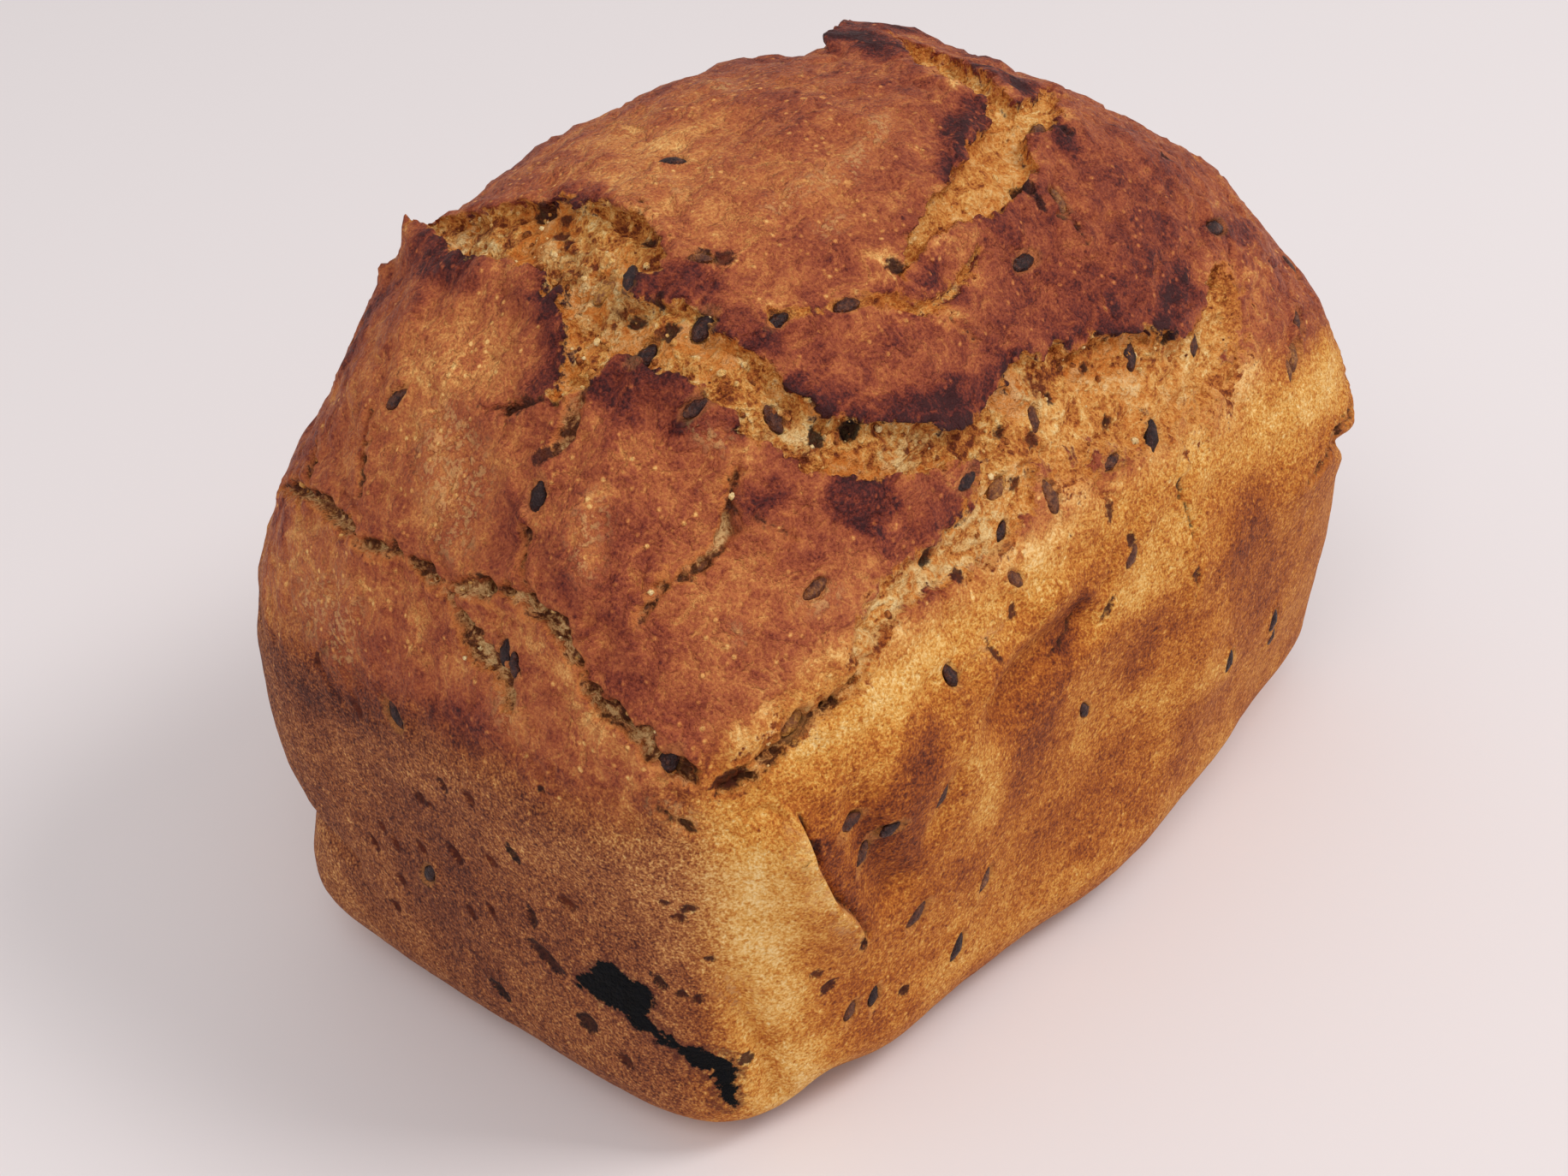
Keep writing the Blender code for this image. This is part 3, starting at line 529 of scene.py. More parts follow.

# How far each place is baked, from 0, pale, to 1, scorched: a level all over, and strokes of more
# or less browning as amount, softness of the edge, then bearing, elevation and half width. Some
# strokes paint light instead of browning: painted shade in a hollow and a crease, painted shadow
# beside the corner fold, and a painted highlight on the fold's crest.
EVEN_BAKE = 0.57
BROWNING_AND_SHADING = [
    (0.38, 1.4, [(323, 73.3, 1.8), (314, 73.5, 3.4), (304, 73.6, 4), (293, 73.4, 3.8),
        (282, 72.8, 3), (270, 72, 2)]),
    (0.25, 1, [(33, 75, 1.6), (30, 72.5, 2.6), (27, 70, 3), (25, 66, 3.4), (23, 61, 3.4)]),
    (0.34, 1.6, [(25, 73, 2), (20, 74, 3), (14, 75.5, 3)]),
    (0.13, 2.5, [(345, 77, 2.5), (333, 79.5, 3)]),
    (0.32, 1.2, [(354, 66, 1.8), (346, 66.3, 3), (339, 66.8, 2.4)]),
    (-0.16, 1.2, [(350, 63.5, 1.4), (345, 62.3, 2)]),
    (0.26, 1.5, [(189.5, 47, 3), (194, 46.5, 4), (199, 45.5, 4.5), (204, 44.5, 3.5),
        (208, 44.5, 2)]),
    (0.26, 1.5, [(216, 48, 2.5), (222, 47, 3), (229, 46.5, 3), (236, 47, 3.2), (243, 47.5, 3.5),
        (250, 48.5, 3.5), (256, 50.5, 3), (262, 51.5, 2)]),
    (0.14, 2, [(234, 47.5, 3), (240, 47.5, 4)]),
    (0.24, 1.4, [(307, 43.5, 2.5), (304, 42, 5), (300, 41, 5.5), (296, 41.5, 4)]),
    (0.15, 1.5, [(272, 51, 2), (280, 50, 2.5), (287, 48, 3), (293, 46, 3)]),
    (0.28, 1.2, [(223, 38.3, 3.2), (226, 38, 4.2)]),
    (0.25, 1.2, [(211.5, 37.5, 2.5), (214, 38, 2.8)]),
    (0.28, 1.4, [(173, 55, 1.5), (177, 53, 2.5), (181, 51, 3), (184, 48.5, 3), (185, 46, 2.5),
        (184, 44, 2)]),
    (0.25, 1.2, [(174, 50, 2)]),
    (0.18, 1.4, [(187, 34, 1.5), (187, 31, 3), (187.5, 29, 2.6)]),
    (-0.08, 2.5, [(189, 26.5, 2), (192, 32, 3)]),
    (0.25, 1.4, [(163, 61.5, 2), (167, 62, 3), (172, 61.5, 2.5)]),
    (0.16, 1.6, [(27, 60, 2.5), (18, 59.5, 3), (8, 59.5, 3), (0, 60, 2)]),
    (0.25, 1, [(324, 63, 1.5), (320, 62.5, 2.5), (316, 62, 2)]),
    (0.25, 1.4, [(148, 48, 2), (154, 48, 3), (160, 49.5, 2.5)]),
    (0.2, 1.2, [(326, 34, 2), (322, 38, 2.5), (318, 41, 2)]),
    (0.28, 1.2, [(330, 66, 2), (338, 64.5, 2.5), (345, 63, 2)]),
    (0.3, 1.2, [(191, 55, 2.5), (194, 55.8, 3.2), (198, 57, 3), (202, 57, 2)]),
    (0.26, 1.2, [(205, 54, 2.5), (209.5, 53.5, 3), (213.5, 52.5, 2)]),
    (0.22, 0.8, [(236, 60.2, 1.5), (240, 60.7, 2), (245, 62, 2)]),
    (0.25, 1.2, [(147, 42, 2), (149, 38, 2), (150, 34, 2)]),
    (0.1, 7, [(292, 62, 12), (310, 58, 12), (322, 52, 10)]),
    (0.06, 5, [(262, 56, 8), (240, 54, 7)]),
    (0.1, 2, [(230, 37, 2), (236, 36, 4), (240, 36, 3)]),
    (0.14, 4, [(196, 29, 5), (203, 34, 4)]),
    (-0.06, 3, [(176, 33, 5), (178, 35, 4)]),
    (-0.16, 1.5, [(196, 36, 1.5), (196.5, 33, 2), (197.5, 31, 1.5)]),
    (-0.11, 5, [(207, 30, 5), (212, 27, 8), (215, 23, 6)]),
    (-0.05, 4, [(220, 31, 3), (219, 28, 5), (219, 24, 4)]),
    (-0.09, 4, [(199, 32, 4), (204, 34, 4), (210, 33.5, 4), (215, 34, 3)]),
    (-0.07, 3, [(203, 61, 3), (208, 61.5, 3)]),
    (-0.1, 4, [(168, 33, 4), (176, 30, 4)]),
    (-0.08, 5, [(123, 79, 7), (150, 74, 6), (90, 82, 5)]),
    (-0.1, 5, [(160, 36, 8), (170, 44, 8)]),
    (-0.08, 6, [(140, 66, 10), (165, 68, 10), (190, 66, 8)]),
    (-0.06, 5, [(160, 63, 3), (165, 66, 5), (168, 70, 6), (160, 75, 6)]),
    (-0.08, 6, [(205, 66, 8), (215, 72, 8), (180, 74, 8)]),
    (-0.1, 4, [(170, 38, 5), (168, 44, 5), (176, 46, 4)]),
    (-0.08, 4, [(194, 40, 4), (200, 38, 3)]),
    (-0.07, 1.5, [(209.5, 18.5, 1.5), (213, 17.5, 1.5), (216.5, 19.5, 1.2)]),
    (-0.2, 1.3, [(196.8, 21.8, 1.1), (199, 19.6, 1.2), (203, 16.4, 1.2), (206.5, 14.4, 1.2)]),
    (-0.16, 1.3, [(186, 23.4, 1.2), (190, 24, 1.4), (194, 23, 1.4), (196.5, 21.6, 1.2)]),
    (-0.16, 1.5, [(231, 63, 2), (235, 62.5, 3)]),
    (-0.08, 3, [(176, 63, 3), (182, 63, 3)]),
    (0.21, 3, [(229, 13, 3), (228, 8, 5), (226, 4, 6), (227, -2, 5)]),
    # Painted shade in the broad hollow on the long side
    (0.12, 3, [(262, 18, 2), (257, 16, 4), (251, 13, 5), (246, 11, 4), (241, 9, 2)]),
    (0.12, 4, [(250, 3, 5), (247, -3, 5)]),
    (0.11, 4, [(300, 10, 6), (303, 0, 8), (306, -8, 6)]),
    (0.1, 4, [(277, 5, 3), (274, -2, 3)]),
    (0.1, 3, [(287, -13, 4), (288, -20, 4), (286, -24, 3)]),
    (0.08, 5, [(270, -17, 6), (262, -20, 6), (252, -15, 5)]),
    (-0.25, 5, [(214, 16, 3), (224, 20, 5), (229, 21, 5)]),
    (-0.14, 2, [(224.5, 25.5, 2), (228, 26.5, 2.5)]),
    # Painted shade along the crease low on the near corner
    (0.1, 1.6, [(211.8, -9, 1.2), (212.8, -13, 1.6), (214, -18, 1.6), (214.5, -24, 1.6)]),
    (-0.12, 3, [(251, 27.5, 3), (256, 29.5, 4)]),
    (0.1, 3, [(261, 23.5, 2), (267, 24, 4), (275, 24, 4), (283, 23.5, 4), (289, 23, 2)]),
    (-0.12, 4, [(308, 19, 3), (316, 17, 5), (325, 15, 4)]),
    (-0.12, 4, [(284, 33, 4), (296, 31, 5), (308, 28, 5)]),
    (-0.17, 5, [(236, 24, 6), (246, 27, 8), (258, 31, 8), (270, 30, 8), (282, 27, 8), (294, 28, 8),
        (304, 24, 8), (312, 18, 7), (320, 14, 6)]),
    (-0.27, 6, [(211, 11, 4), (212, 8, 5.5), (212.8, 1, 7), (213.5, -6, 6), (214.5, -15, 6),
        (216, -24, 6)]),
    # Painted shadow beside the corner fold, where its overhang shades the long side
    (0.16, 1.6, [(218, 9, 1), (219.6, 5, 1.9), (220.5, 0.5, 2.1), (222, -3.5, 1.7),
        (223.4, -7.5, 1)]),
    # Painted highlight along the corner fold's crest
    (-0.22, 0.8, [(215.6, 11.5, 0.4), (216.6, 8, 0.6), (217.4, 3.5, 0.6), (218.6, -0.5, 0.6),
        (220.6, -4.5, 0.6), (222, -8, 0.4)]),
    # Painted shade at the end of that hollow, by its crack
    (0.14, 2, [(261, 18, 1.5), (259.5, 15.5, 2), (256.5, 13.5, 2)]),
    (-0.16, 3, [(237, 9, 2), (239, 3, 3.5), (240, -4, 3)]),
    (-0.14, 4, [(265, 14, 3), (272, 14, 4), (280, 15, 5), (286, 17, 4)]),
    (-0.1, 3, [(262, -7, 2), (270, -8.5, 2.5), (280, -9.5, 2.5), (290, -10, 2.5), (300, -13, 2)]),
    (-0.12, 4, [(228, -22, 3), (238, -27, 3), (250, -30, 3), (270, -32, 3), (290, -31, 3),
        (304, -29, 3)]),
    (-0.16, 4, [(157, 14, 4), (160, 19, 5), (166, 20.5, 5), (172, 19.5, 3), (178, 19, 2)]),
    (0.18, 4, [(162, 7, 4), (170, 9.5, 4), (178, 11.5, 4), (187, 14, 3.5)]),
    (-0.12, 3, [(155, -14, 3), (159, -18, 4), (166, -23, 3)]),
    (-0.14, 6, [(204, 11, 3), (206, 3, 3), (207, -3, 2)]),
    (0.06, 5, [(172, -4, 8), (184, -6, 8), (192, -8, 7)]),
    (0.1, 5, [(283, 53, 6), (296, 50, 8), (308, 47, 6)]),
    (0.12, 3.5, [(202, 27, 3), (202, 23, 4), (202, 20.5, 3)]),
    (-0.08, 2.5, [(208, 22.5, 2.5)]),
    (-0.08, 5, [(222, 82.5, 5)]),
    (0.08, 3, [(238.5, 53, 4)]),
    (0.12, 1.5, [(222.5, 19.4, 1.5), (219.5, 18, 1.4)]),
    (-0.08, 2, [(237.5, 28, 2)]),
    (-0.1, 2.5, [(183, 18, 2), (190, 18, 3), (197, 17, 4), (203, 15, 4)]),
    (-0.05, 3, [(226, -14, 4), (231, -18, 5), (238, -24, 5)]),
]

# Black char low on the end: how much wider than the stroke, then the stroke as above
CHARRED = [
    (0.2, [(196.5, -11.3, 1.2), (198.6, -11, 2.8), (200.4, -9.6, 3.4), (201.6, -10.6, 3.2)]),
    (0, [(201.8, -11.5, 2), (202.6, -13.4, 1.6)]),
    (0, [(206.4, -15.2, 1), (208.4, -16.6, 1.9), (209.8, -18.6, 1.7), (210, -21.8, 1)]),
    (-0.5, [(202.8, -12.8, 1.3), (204.4, -13.9, 1.8), (206.6, -15.4, 1.5)]),
]

# Strokes as above, each after the softness of its edge: where the crumb in the tears is dry and
# grey, where it is coarse, and where flour and pale bloom lie on the crust, with one pale stroke
# that is a painted highlight on the corner fold's crest.
PITHY = [
    (3, [(245, 33.5, 3), (238, 32, 3.5), (232, 30.3, 3.2), (227, 28, 3), (224.5, 25, 2.6),
        (222.8, 22.5, 2)]),
    (1.5, [(220.5, 20, 1.6), (218, 19, 1.6)]),
    (2, [(182.5, 22.8, 1.5), (185.5, 21.5, 2), (188.5, 20.8, 1.6)]),
    (2.5, [(150, 51, 2), (157, 52, 3.5)]),
    (2.5, [(172, 56, 3), (178, 55.5, 3), (184, 54, 3), (190, 52, 2.5)]),
    (2, [(215, 44.5, 2.2), (218, 44, 2)]),
    (1.5, [(230, 43.3, 1.6), (235, 43.3, 1.8)]),
    (1.5, [(263, 47.5, 2.5)]),
    (2.5, [(152, 27, 2), (157, 22, 3), (160, 19, 3)]),
]
CRUMBLY = [
    (5, [(139, 47, 4), (155, 53, 6), (171, 57.5, 8), (187, 54, 9), (201, 50, 7), (213.5, 46, 6),
        (226, 43.2, 5), (247, 43.5, 4)]),
    (3, [(187, 52, 5), (188, 44.5, 4)]),
    (3, [(252, 46.5, 2.5), (262, 48.5, 2.5), (272, 48.5, 2.5), (282, 46.5, 2.5), (292, 43, 2.5),
        (298, 40, 1.5)]),
]
FLOURY_AND_HIGHLIT = [
    (1, [(207, 69, 1), (211, 70.3, 1.6), (218.5, 73, 1.2), (229, 75.5, 1.8), (246, 79.5, 1.2),
        (276, 82, 1.6)]),
    (1, [(178, 68.4, 1.4), (183, 67.8, 0.8)]),
    (1, [(222, 67, 1.2), (226, 68, 1.2)]),
    (1.5, [(109, 79.5, 2), (100, 77, 1.5)]),
    # Painted highlight on the corner fold's crest, not flour
    (1.2, [(216, 10, 0.6), (217.2, 5, 0.9), (218.2, 0.5, 1), (220, -3.5, 1.2), (221.2, -7, 0.8)]),
    (4, [(174, 37, 3), (178, 33.5, 5), (180, 30, 3)]),
    (1.2, [(206.2, 12.3, 1.2), (208.4, 11.4, 1.6)]),
    (2, [(196.5, 36, 1), (196.5, 33, 1.6), (197.5, 30.5, 1)]),
    (4, [(164, 16, 3), (168, 18, 3), (169, 14, 2)]),
    (2, [(190, 18.5, 1.5), (191.5, 15.5, 1)]),
    (2.5, [(211.2, -7.5, 1.6), (212.5, -11, 1.4)]),
    (2, [(217.5, 28.8, 1), (220.5, 29.5, 1)]),
    (1.5, [(211.5, 26.5, 0.8)]),
    (1.5, [(206, 43.2, 0.9), (208.5, 42.4, 0.8)]),
    (1.5, [(239.5, 20.5, 1.2), (243, 21.5, 1)]),
]
BRUSH_STEPS = 3
UNCHARRED = -6.0
ragged = lumps(crust, 4.0, 3, 61.0)
soft_lumps = lumps(crust, 16.0, 3, 67.0)
long_sides = ramp(np.abs(crust[:, 1]), 34.0, 48.0)
walls = 1.0 - ramp(crust[:, 2] + 3.0 * soft_lumps - 13.0 * long_sides, 55.0, 68.0)
ends = ramp(np.abs(crust[:, 0]), 72.0, 80.0)
# The ends pale less than the long walls: painted shade, as for an end turned from the key lamp
bake = EVEN_BAKE - walls * (0.085 - 0.045 * ends) + 0.05 * soft_lumps
for amount, soft, stops in BROWNING_AND_SHADING:
    gap, _, wide, _ = beside(crust, stops, BRUSH_STEPS)
    bake += amount * (1.0 - ramp(gap + 1.2 * ragged - wide, -soft, soft))
char = np.full(len(crust), UNCHARRED)
for spare, stops in CHARRED:
    gap, _, wide, _ = beside(crust, stops, BRUSH_STEPS)
    char = np.maximum(char, wide + spare + 0.9 * ragged - gap)
brushed = []
for patches in (PITHY, CRUMBLY, FLOURY_AND_HIGHLIT):
    share = np.zeros(len(crust))
    for soft, stops in patches:
        gap, _, wide, _ = beside(crust, stops, BRUSH_STEPS)
        share = np.maximum(share, 1.0 - ramp(gap + ragged - wide, -soft / 2, soft))
    brushed.append(share)
pith, crumbly, flour = brushed
black = np.zeros(len(crust))
for bearing, elevation, length, _, turn, _, blackness in DENTS:
    here = across_spot(crust, bearing, elevation, turn, max(length, 2.0))[1]
    black[here] = np.maximum(black[here], blackness)


def keep(mesh, kind="FLOAT", **values):
    """Values stored on the points of a mesh by name, for its material or for what grows on it."""
    for name, numbers in values.items():
        layer = mesh.attributes.new(name, kind, "POINT")
        layer.data.foreach_set("value", np.asarray(numbers, np.float32).ravel())


keep(loaf_mesh, edge=np.clip(edge, -8, 8), crack=np.clip(crack, -3, 8), bake=bake, char=char,
     pith=pith, crumbly=crumbly, flour=flour, filled=filled, walls=walls, ends=ends * walls,
     crumbs=(ramp(-edge, -0.3, 0.8) * (0.22 + 0.78 * crumbly)
             + 0.8 * filled * ramp(-crack, -0.2, 0.4)),
     dent=np.clip(dent, -4, 4), black=black, ring=np.clip(ring, -2, 6))


def tint(red, green, blue):
    """A screen colour, 0 to 255, as the light values that materials take."""
    screen = [c / 255 for c in (red, green, blue)]
    return (*(c / 12.92 if c < 0.0405 else ((c + 0.055) / 1.055) ** 2.4 for c in screen), 1.0)


class Reading:
    """A value on a node's socket. Sums with it add Math nodes to the same tree."""

    def __init__(self, socket):
        self.socket = socket

    def worked(self, operation, *terms):
        """A Math node on the terms."""
        step = self.socket.id_data.nodes.new("ShaderNodeMath")
        step.operation = operation
        for slot, term in zip(step.inputs, terms):
            give(slot, term)
        return Reading(step.outputs[0])

    def __add__(self, other): return self.worked("ADD", self, other)
    def __radd__(self, other): return self.worked("ADD", other, self)
    def __sub__(self, other): return self.worked("SUBTRACT", self, other)
    def __rsub__(self, other): return self.worked("SUBTRACT", other, self)
    def __mul__(self, other): return self.worked("MULTIPLY", self, other)
    def __rmul__(self, other): return self.worked("MULTIPLY", other, self)
    def __pow__(self, other): return self.worked("POWER", self, other)
    def __abs__(self): return self.worked("ABSOLUTE", self)


def give(slot, value):
    """A reading linked to a socket, or a plain value set on it."""
    if isinstance(value, Reading):
        slot.id_data.links.new(value.socket, slot)
    else:
        slot.default_value = value


class Nodes:
    """A node tree to which nodes are added one at a time."""

    def add(self, kind, settings=None, out=0, **sockets):
        """A node of any kind: its settings first, then its sockets by name, with _ for a space."""
        step = self.tree.nodes.new(kind)
        for name, value in (settings or {}).items():
            if name == "stops":
                while len(step.color_ramp.elements) < len(value):
                    step.color_ramp.elements.new(0.5)
                for stop, (spot, *colour) in zip(step.color_ramp.elements, value):
                    stop.position = spot
                    stop.color = tint(*colour)
            else:
                setattr(step, name, value)
        for name, value in sockets.items():
            slots = [s for s in step.inputs if s.name == name.replace("_", " ") and s.enabled]
            for slot, part in zip(slots, value if isinstance(value, list) else [value]):
                give(slot, part)
        outs = [s for s in step.outputs if s.enabled]
        return Reading(outs[out] if isinstance(out, int) else step.outputs[out])


class Finish(Nodes):
    """One surface: a material on the object's own coordinates."""

    def __init__(self, name):
        self.material = bpy.data.materials.new(name)
        self.material.use_nodes = True
        self.tree = self.material.node_tree
        self.shader = self.tree.nodes["Principled BSDF"]
        self.place = self.add("ShaderNodeTexCoord", out="Object")

    def measure(self, name):
        """A value that the mesh keeps on its points."""
        return self.add("ShaderNodeAttribute", {"attribute_name": name}, "Fac")

    def grain(self, size_mm, detail=3.0, rough=0.55, place=None):
        """Soft noise less its average, in lumps of the given size."""
        return self.add("ShaderNodeTexNoise", out="Fac", Vector=place or self.place,
                        Scale=1.0 / (size_mm * MM), Detail=detail, Roughness=rough) - 0.5

    def step(self, value, low, high):
        """A soft step from 0 at low to 1 at high."""
        return self.add("ShaderNodeMapRange", {"interpolation_type": "SMOOTHSTEP"}, Value=value,
                        From_Min=low, From_Max=high, To_Min=0.0, To_Max=1.0)

    def cells(self, spacing_mm):
        """A random net of cells: the distance from each middle, and a number for each cell."""
        away = self.add("ShaderNodeTexVoronoi", out="Distance", Vector=self.place,
                        Scale=1.0 / (spacing_mm * MM))
        colour = Reading(away.socket.node.outputs["Color"])
        return away, self.add("ShaderNodeSeparateColor", Color=colour)

    def shades(self, value, stops):
        """A row of screen colours, each after the value that it belongs to."""
        return self.add("ShaderNodeValToRGB", {"stops": stops}, "Color", Fac=value)

    def blend(self, share, under, over):
        """One colour laid over another by a share from 0 to 1."""
        return self.add("ShaderNodeMix", {"data_type": "RGBA"}, Factor=share, A=under, B=over)

    def bumps(self, height, depth_mm):
        """Small rises of the surface, as a normal."""
        return self.add("ShaderNodeBump", Height=height, Distance=depth_mm * MM, Strength=1.0)

    def wear(self, **sockets):
        """What the surface itself is given, by the names of its shader's sockets."""
        for name, value in sockets.items():
            give(self.shader.inputs[name.replace("_", " ")], value)


SWAY = 5.0 * MM
crusty = Finish("baked_rye_crust")
sway = crusty.add("ShaderNodeTexNoise", out="Color", Vector=crusty.place, Scale=1.0 / SWAY,
                  Detail=0.0)
swayed = crusty.add("ShaderNodeVectorMath", {"operation": "MULTIPLY_ADD"},
                    Vector=[sway, (SWAY, SWAY, SWAY), crusty.place])
drawn = crusty.add("ShaderNodeMapping", Vector=swayed, Scale=(0.5, 1.0, 0.85))
blotch = crusty.grain(15.0, 1.0)
mottle = crusty.grain(4.6, 3.0, 0.6, drawn)
wrinkle = crusty.grain(6.5, 0.0, 0.5, drawn)
patch = crusty.grain(2.1, 3.0, 0.6, swayed)
fleck = crusty.grain(0.85, 3.0, 0.65)
fine = crusty.grain(0.38, 2.0, 0.6)
away, pick = crusty.cells(1.4)
pale_specks = (1.0 - crusty.step(away, 0.10, 0.36)) * crusty.step(pick, 0.52, 0.56)
dark_specks = (1.0 - crusty.step(away, 0.10, 0.34)) * crusty.step(pick, 0.16, 0.12)
# Holes in the crumb painted dark: painted shade in pits that the surface does not have
hole_shade = (1.0 - crusty.step(away, 0.25, 0.55)) * crusty.step(pick, 0.30, 0.26)
edge_mm, crack_mm, char_mm = (crusty.measure(name) for name in ("edge", "crack", "char"))
walls_on, ends_on = crusty.measure("walls"), crusty.measure("ends")
crumbly_on, crumb_shadowed_on = crusty.measure("crumbly"), crusty.measure("filled")
plates_on = 1.0 - walls_on

# Crust: browner and paler by how far it is baked, in the colours of the plates, walls and ends.
# The ends' darker, duller colours are painted shade, and the baked value holds the painted
# shade and highlight strokes.
torn = 1.0 - crusty.step(edge_mm + mottle * 3.5 + patch * 4.5 + fleck * 3.0, -0.35, 0.45)
singed = ((1.0 - crusty.step(edge_mm + mottle * 4.0 + patch * 4.0, 0.0, 2.4))
          * plates_on * (crumbly_on * 0.16 - 0.05 + mottle * 1.2))
veined = ((1.0 - crusty.step(abs(wrinkle + patch * 0.22 + fleck * 0.14), 0.006, 0.05))
          * plates_on * crusty.step(blotch + fleck, -0.06, 0.08))
speckled = pale_specks * crusty.step(blotch + mottle, -0.12, 0.08) * (0.34 - walls_on * 0.18)
browned_and_shaded = (crusty.measure("bake") + mottle * (0.64 - walls_on * 0.26) + blotch * 0.26
           + patch * (0.62 - walls_on * 0.34)
           + fleck * (0.44 + walls_on * 0.12 + ends_on * 0.10)
           + fine * (0.62 + walls_on * 0.20 + ends_on * 0.50)
           + singed + dark_specks * 0.16 - veined * 0.13 - speckled)
plate_colour = crusty.shades(browned_and_shaded, [
    (0.02, 248, 196, 124), (0.14, 232, 168, 98), (0.28, 208, 134, 74), (0.42, 187, 107, 60),
    (0.54, 168, 87, 52), (0.65, 149, 71, 45), (0.76, 126, 54, 37), (0.87, 98, 39, 33),
    (1.0, 62, 26, 27)])
wall_colour = crusty.shades(browned_and_shaded, [
    (0.02, 252, 214, 150), (0.14, 240, 190, 112), (0.28, 222, 157, 72), (0.42, 198, 120, 46),
    (0.54, 170, 91, 32), (0.66, 140, 67, 27), (0.80, 102, 45, 24), (0.95, 62, 26, 21)])
# Darker, duller colours for the ends: painted shade
shaded_end_colour = crusty.shades(browned_and_shaded, [
    (0.02, 244, 194, 128), (0.16, 222, 162, 98), (0.30, 194, 126, 74), (0.44, 162, 95, 56),
    (0.56, 136, 74, 45), (0.68, 108, 55, 37), (0.85, 70, 32, 26)])
crust_colour = crusty.blend(walls_on, plate_colour, wall_colour)
crust_colour = crusty.blend(ends_on * 0.9, crust_colour, shaded_end_colour)
# Flour and pale bloom, and the painted highlight on the fold's crest, in one pale colour
floury_and_highlit = crusty.measure("flour") * crusty.step(patch + fleck * 1.3, -0.04, 0.20) * 0.46
crust_colour = crusty.blend(floury_and_highlit, crust_colour, tint(244, 190, 122))

# Crumb in the tears: golden, orange where it is moist, grey where it is dry, darker in its holes as
# painted shade
crumb = (mottle * (1.2 + crumbly_on * 0.5) + patch * 1.0 + fleck * 0.9 + fine * 0.7 + 0.56
         - crumbly_on * (hole_shade * 0.26 + 0.04)
         + (1.0 - crusty.step(abs(edge_mm + patch * 3.0), 0.0, 2.0)) * (crumbly_on * 0.22 - 0.10))
crumb_colour = crusty.shades(crumb, [
    (0.12, 112, 50, 24), (0.30, 172, 94, 40), (0.50, 212, 140, 66), (0.68, 232, 176, 102),
    (0.92, 250, 216, 154)])
orange = crusty.step(blotch * 1.6 + mottle * 1.8, -0.02, 0.16) * (crumbly_on * 0.42 + 0.24)
crumb_colour = crusty.blend(orange, crumb_colour, tint(206, 112, 38))
pithy = crusty.measure("pith") * crusty.step(patch + fleck * 0.5, -0.12, 0.10) * 0.75
grey_crumb = crusty.shades(crumb, [
    (0.15, 124, 82, 46), (0.5, 205, 157, 96), (0.9, 244, 212, 152)])
crumb_colour = crusty.blend(pithy, crumb_colour, grey_crumb)
skin = crusty.blend(torn, crust_colour, crumb_colour)

# Cracks, pits, the pale rings round the seeds, and char with its singed fringe. The cracks'
# colours carry painted shade in their depth and painted shadow under the plate's lip.
split = 1.0 - crusty.step(crack_mm + fleck * 2.4 + patch * 2.4, -0.75, 0.10)
lipped = (1.0 - crusty.step(crack_mm + fleck * 3.0 + patch * 3.0, 0.1, 1.1)) * crumb_shadowed_on * 0.5
pitted = crusty.step(crusty.measure("dent") + fleck * 1.4, -0.30, 0.10)
halo = 1.0 - crusty.step(crusty.measure("ring") + fleck * 2.4 + patch * 2.0, 0.1, 0.9)
scorched = crusty.step(char_mm + patch * 3.0 + fleck * 2.5, -0.15, 0.3)
fringe = crusty.step(char_mm + patch * 6.0 + fleck * 4.0, -1.7, -0.3) * 0.6
# Crumb colours in the cracks, darkest where little crumb shows: painted shade in the crack's depth
split_shade = fleck * 1.6 + patch * 2.0 + mottle * 1.5 + crumb_shadowed_on * 0.84 - 0.05
split_colour_shaded = crusty.shades(split_shade, [
    (0.16, 44, 20, 16), (0.40, 96, 52, 34), (0.58, 170, 118, 70), (0.82, 226, 186, 128)])
pit_colour = crusty.shades(crusty.measure("black") + fleck * 1.4, [
    (0.0, 94, 36, 18), (0.45, 60, 26, 22), (0.9, 20, 13, 17)])
char_colour = crusty.shades(fleck * 1.6 + patch + 0.5, [(0.35, 1, 1, 3), (0.85, 9, 11, 19)])
for share, colour in ((lipped, tint(212, 128, 62)), (split * 0.88, split_colour_shaded),
                      (pitted * 0.92, pit_colour),
                      (halo * (0.16 + walls_on * 0.16), tint(214, 152, 88)),
                      (fringe, tint(92, 42, 31)), (scorched, char_colour)):
    skin = crusty.blend(share, skin, colour)
rise = ((1.0 - torn) * (mottle * plates_on * 1.3 + patch * (0.50 + plates_on * 0.65)
                        + fleck * (0.62 + ends_on * 0.25) + fine * (0.22 + ends_on * 0.14)
                        + veined * 0.10 + pale_specks * plates_on * 0.16)
        + torn * (patch * (0.8 + crumbly_on * 0.5) + fleck * (0.7 + crumbly_on * 0.5) + fine * 0.28)
        + scorched * (fleck * 2.0 + patch * 2.2) - split * fleck)
crusty.wear(Base_Color=skin, Specular_IOR_Level=0.16, Normal=crusty.bumps(rise, 1.0),
            Roughness=0.54 + torn * 0.20 + walls_on * 0.10 + scorched * 0.20 + fleck * 0.5)
loaf_mesh.materials.append(crusty.material)
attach(loaf, "root")
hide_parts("loaf")

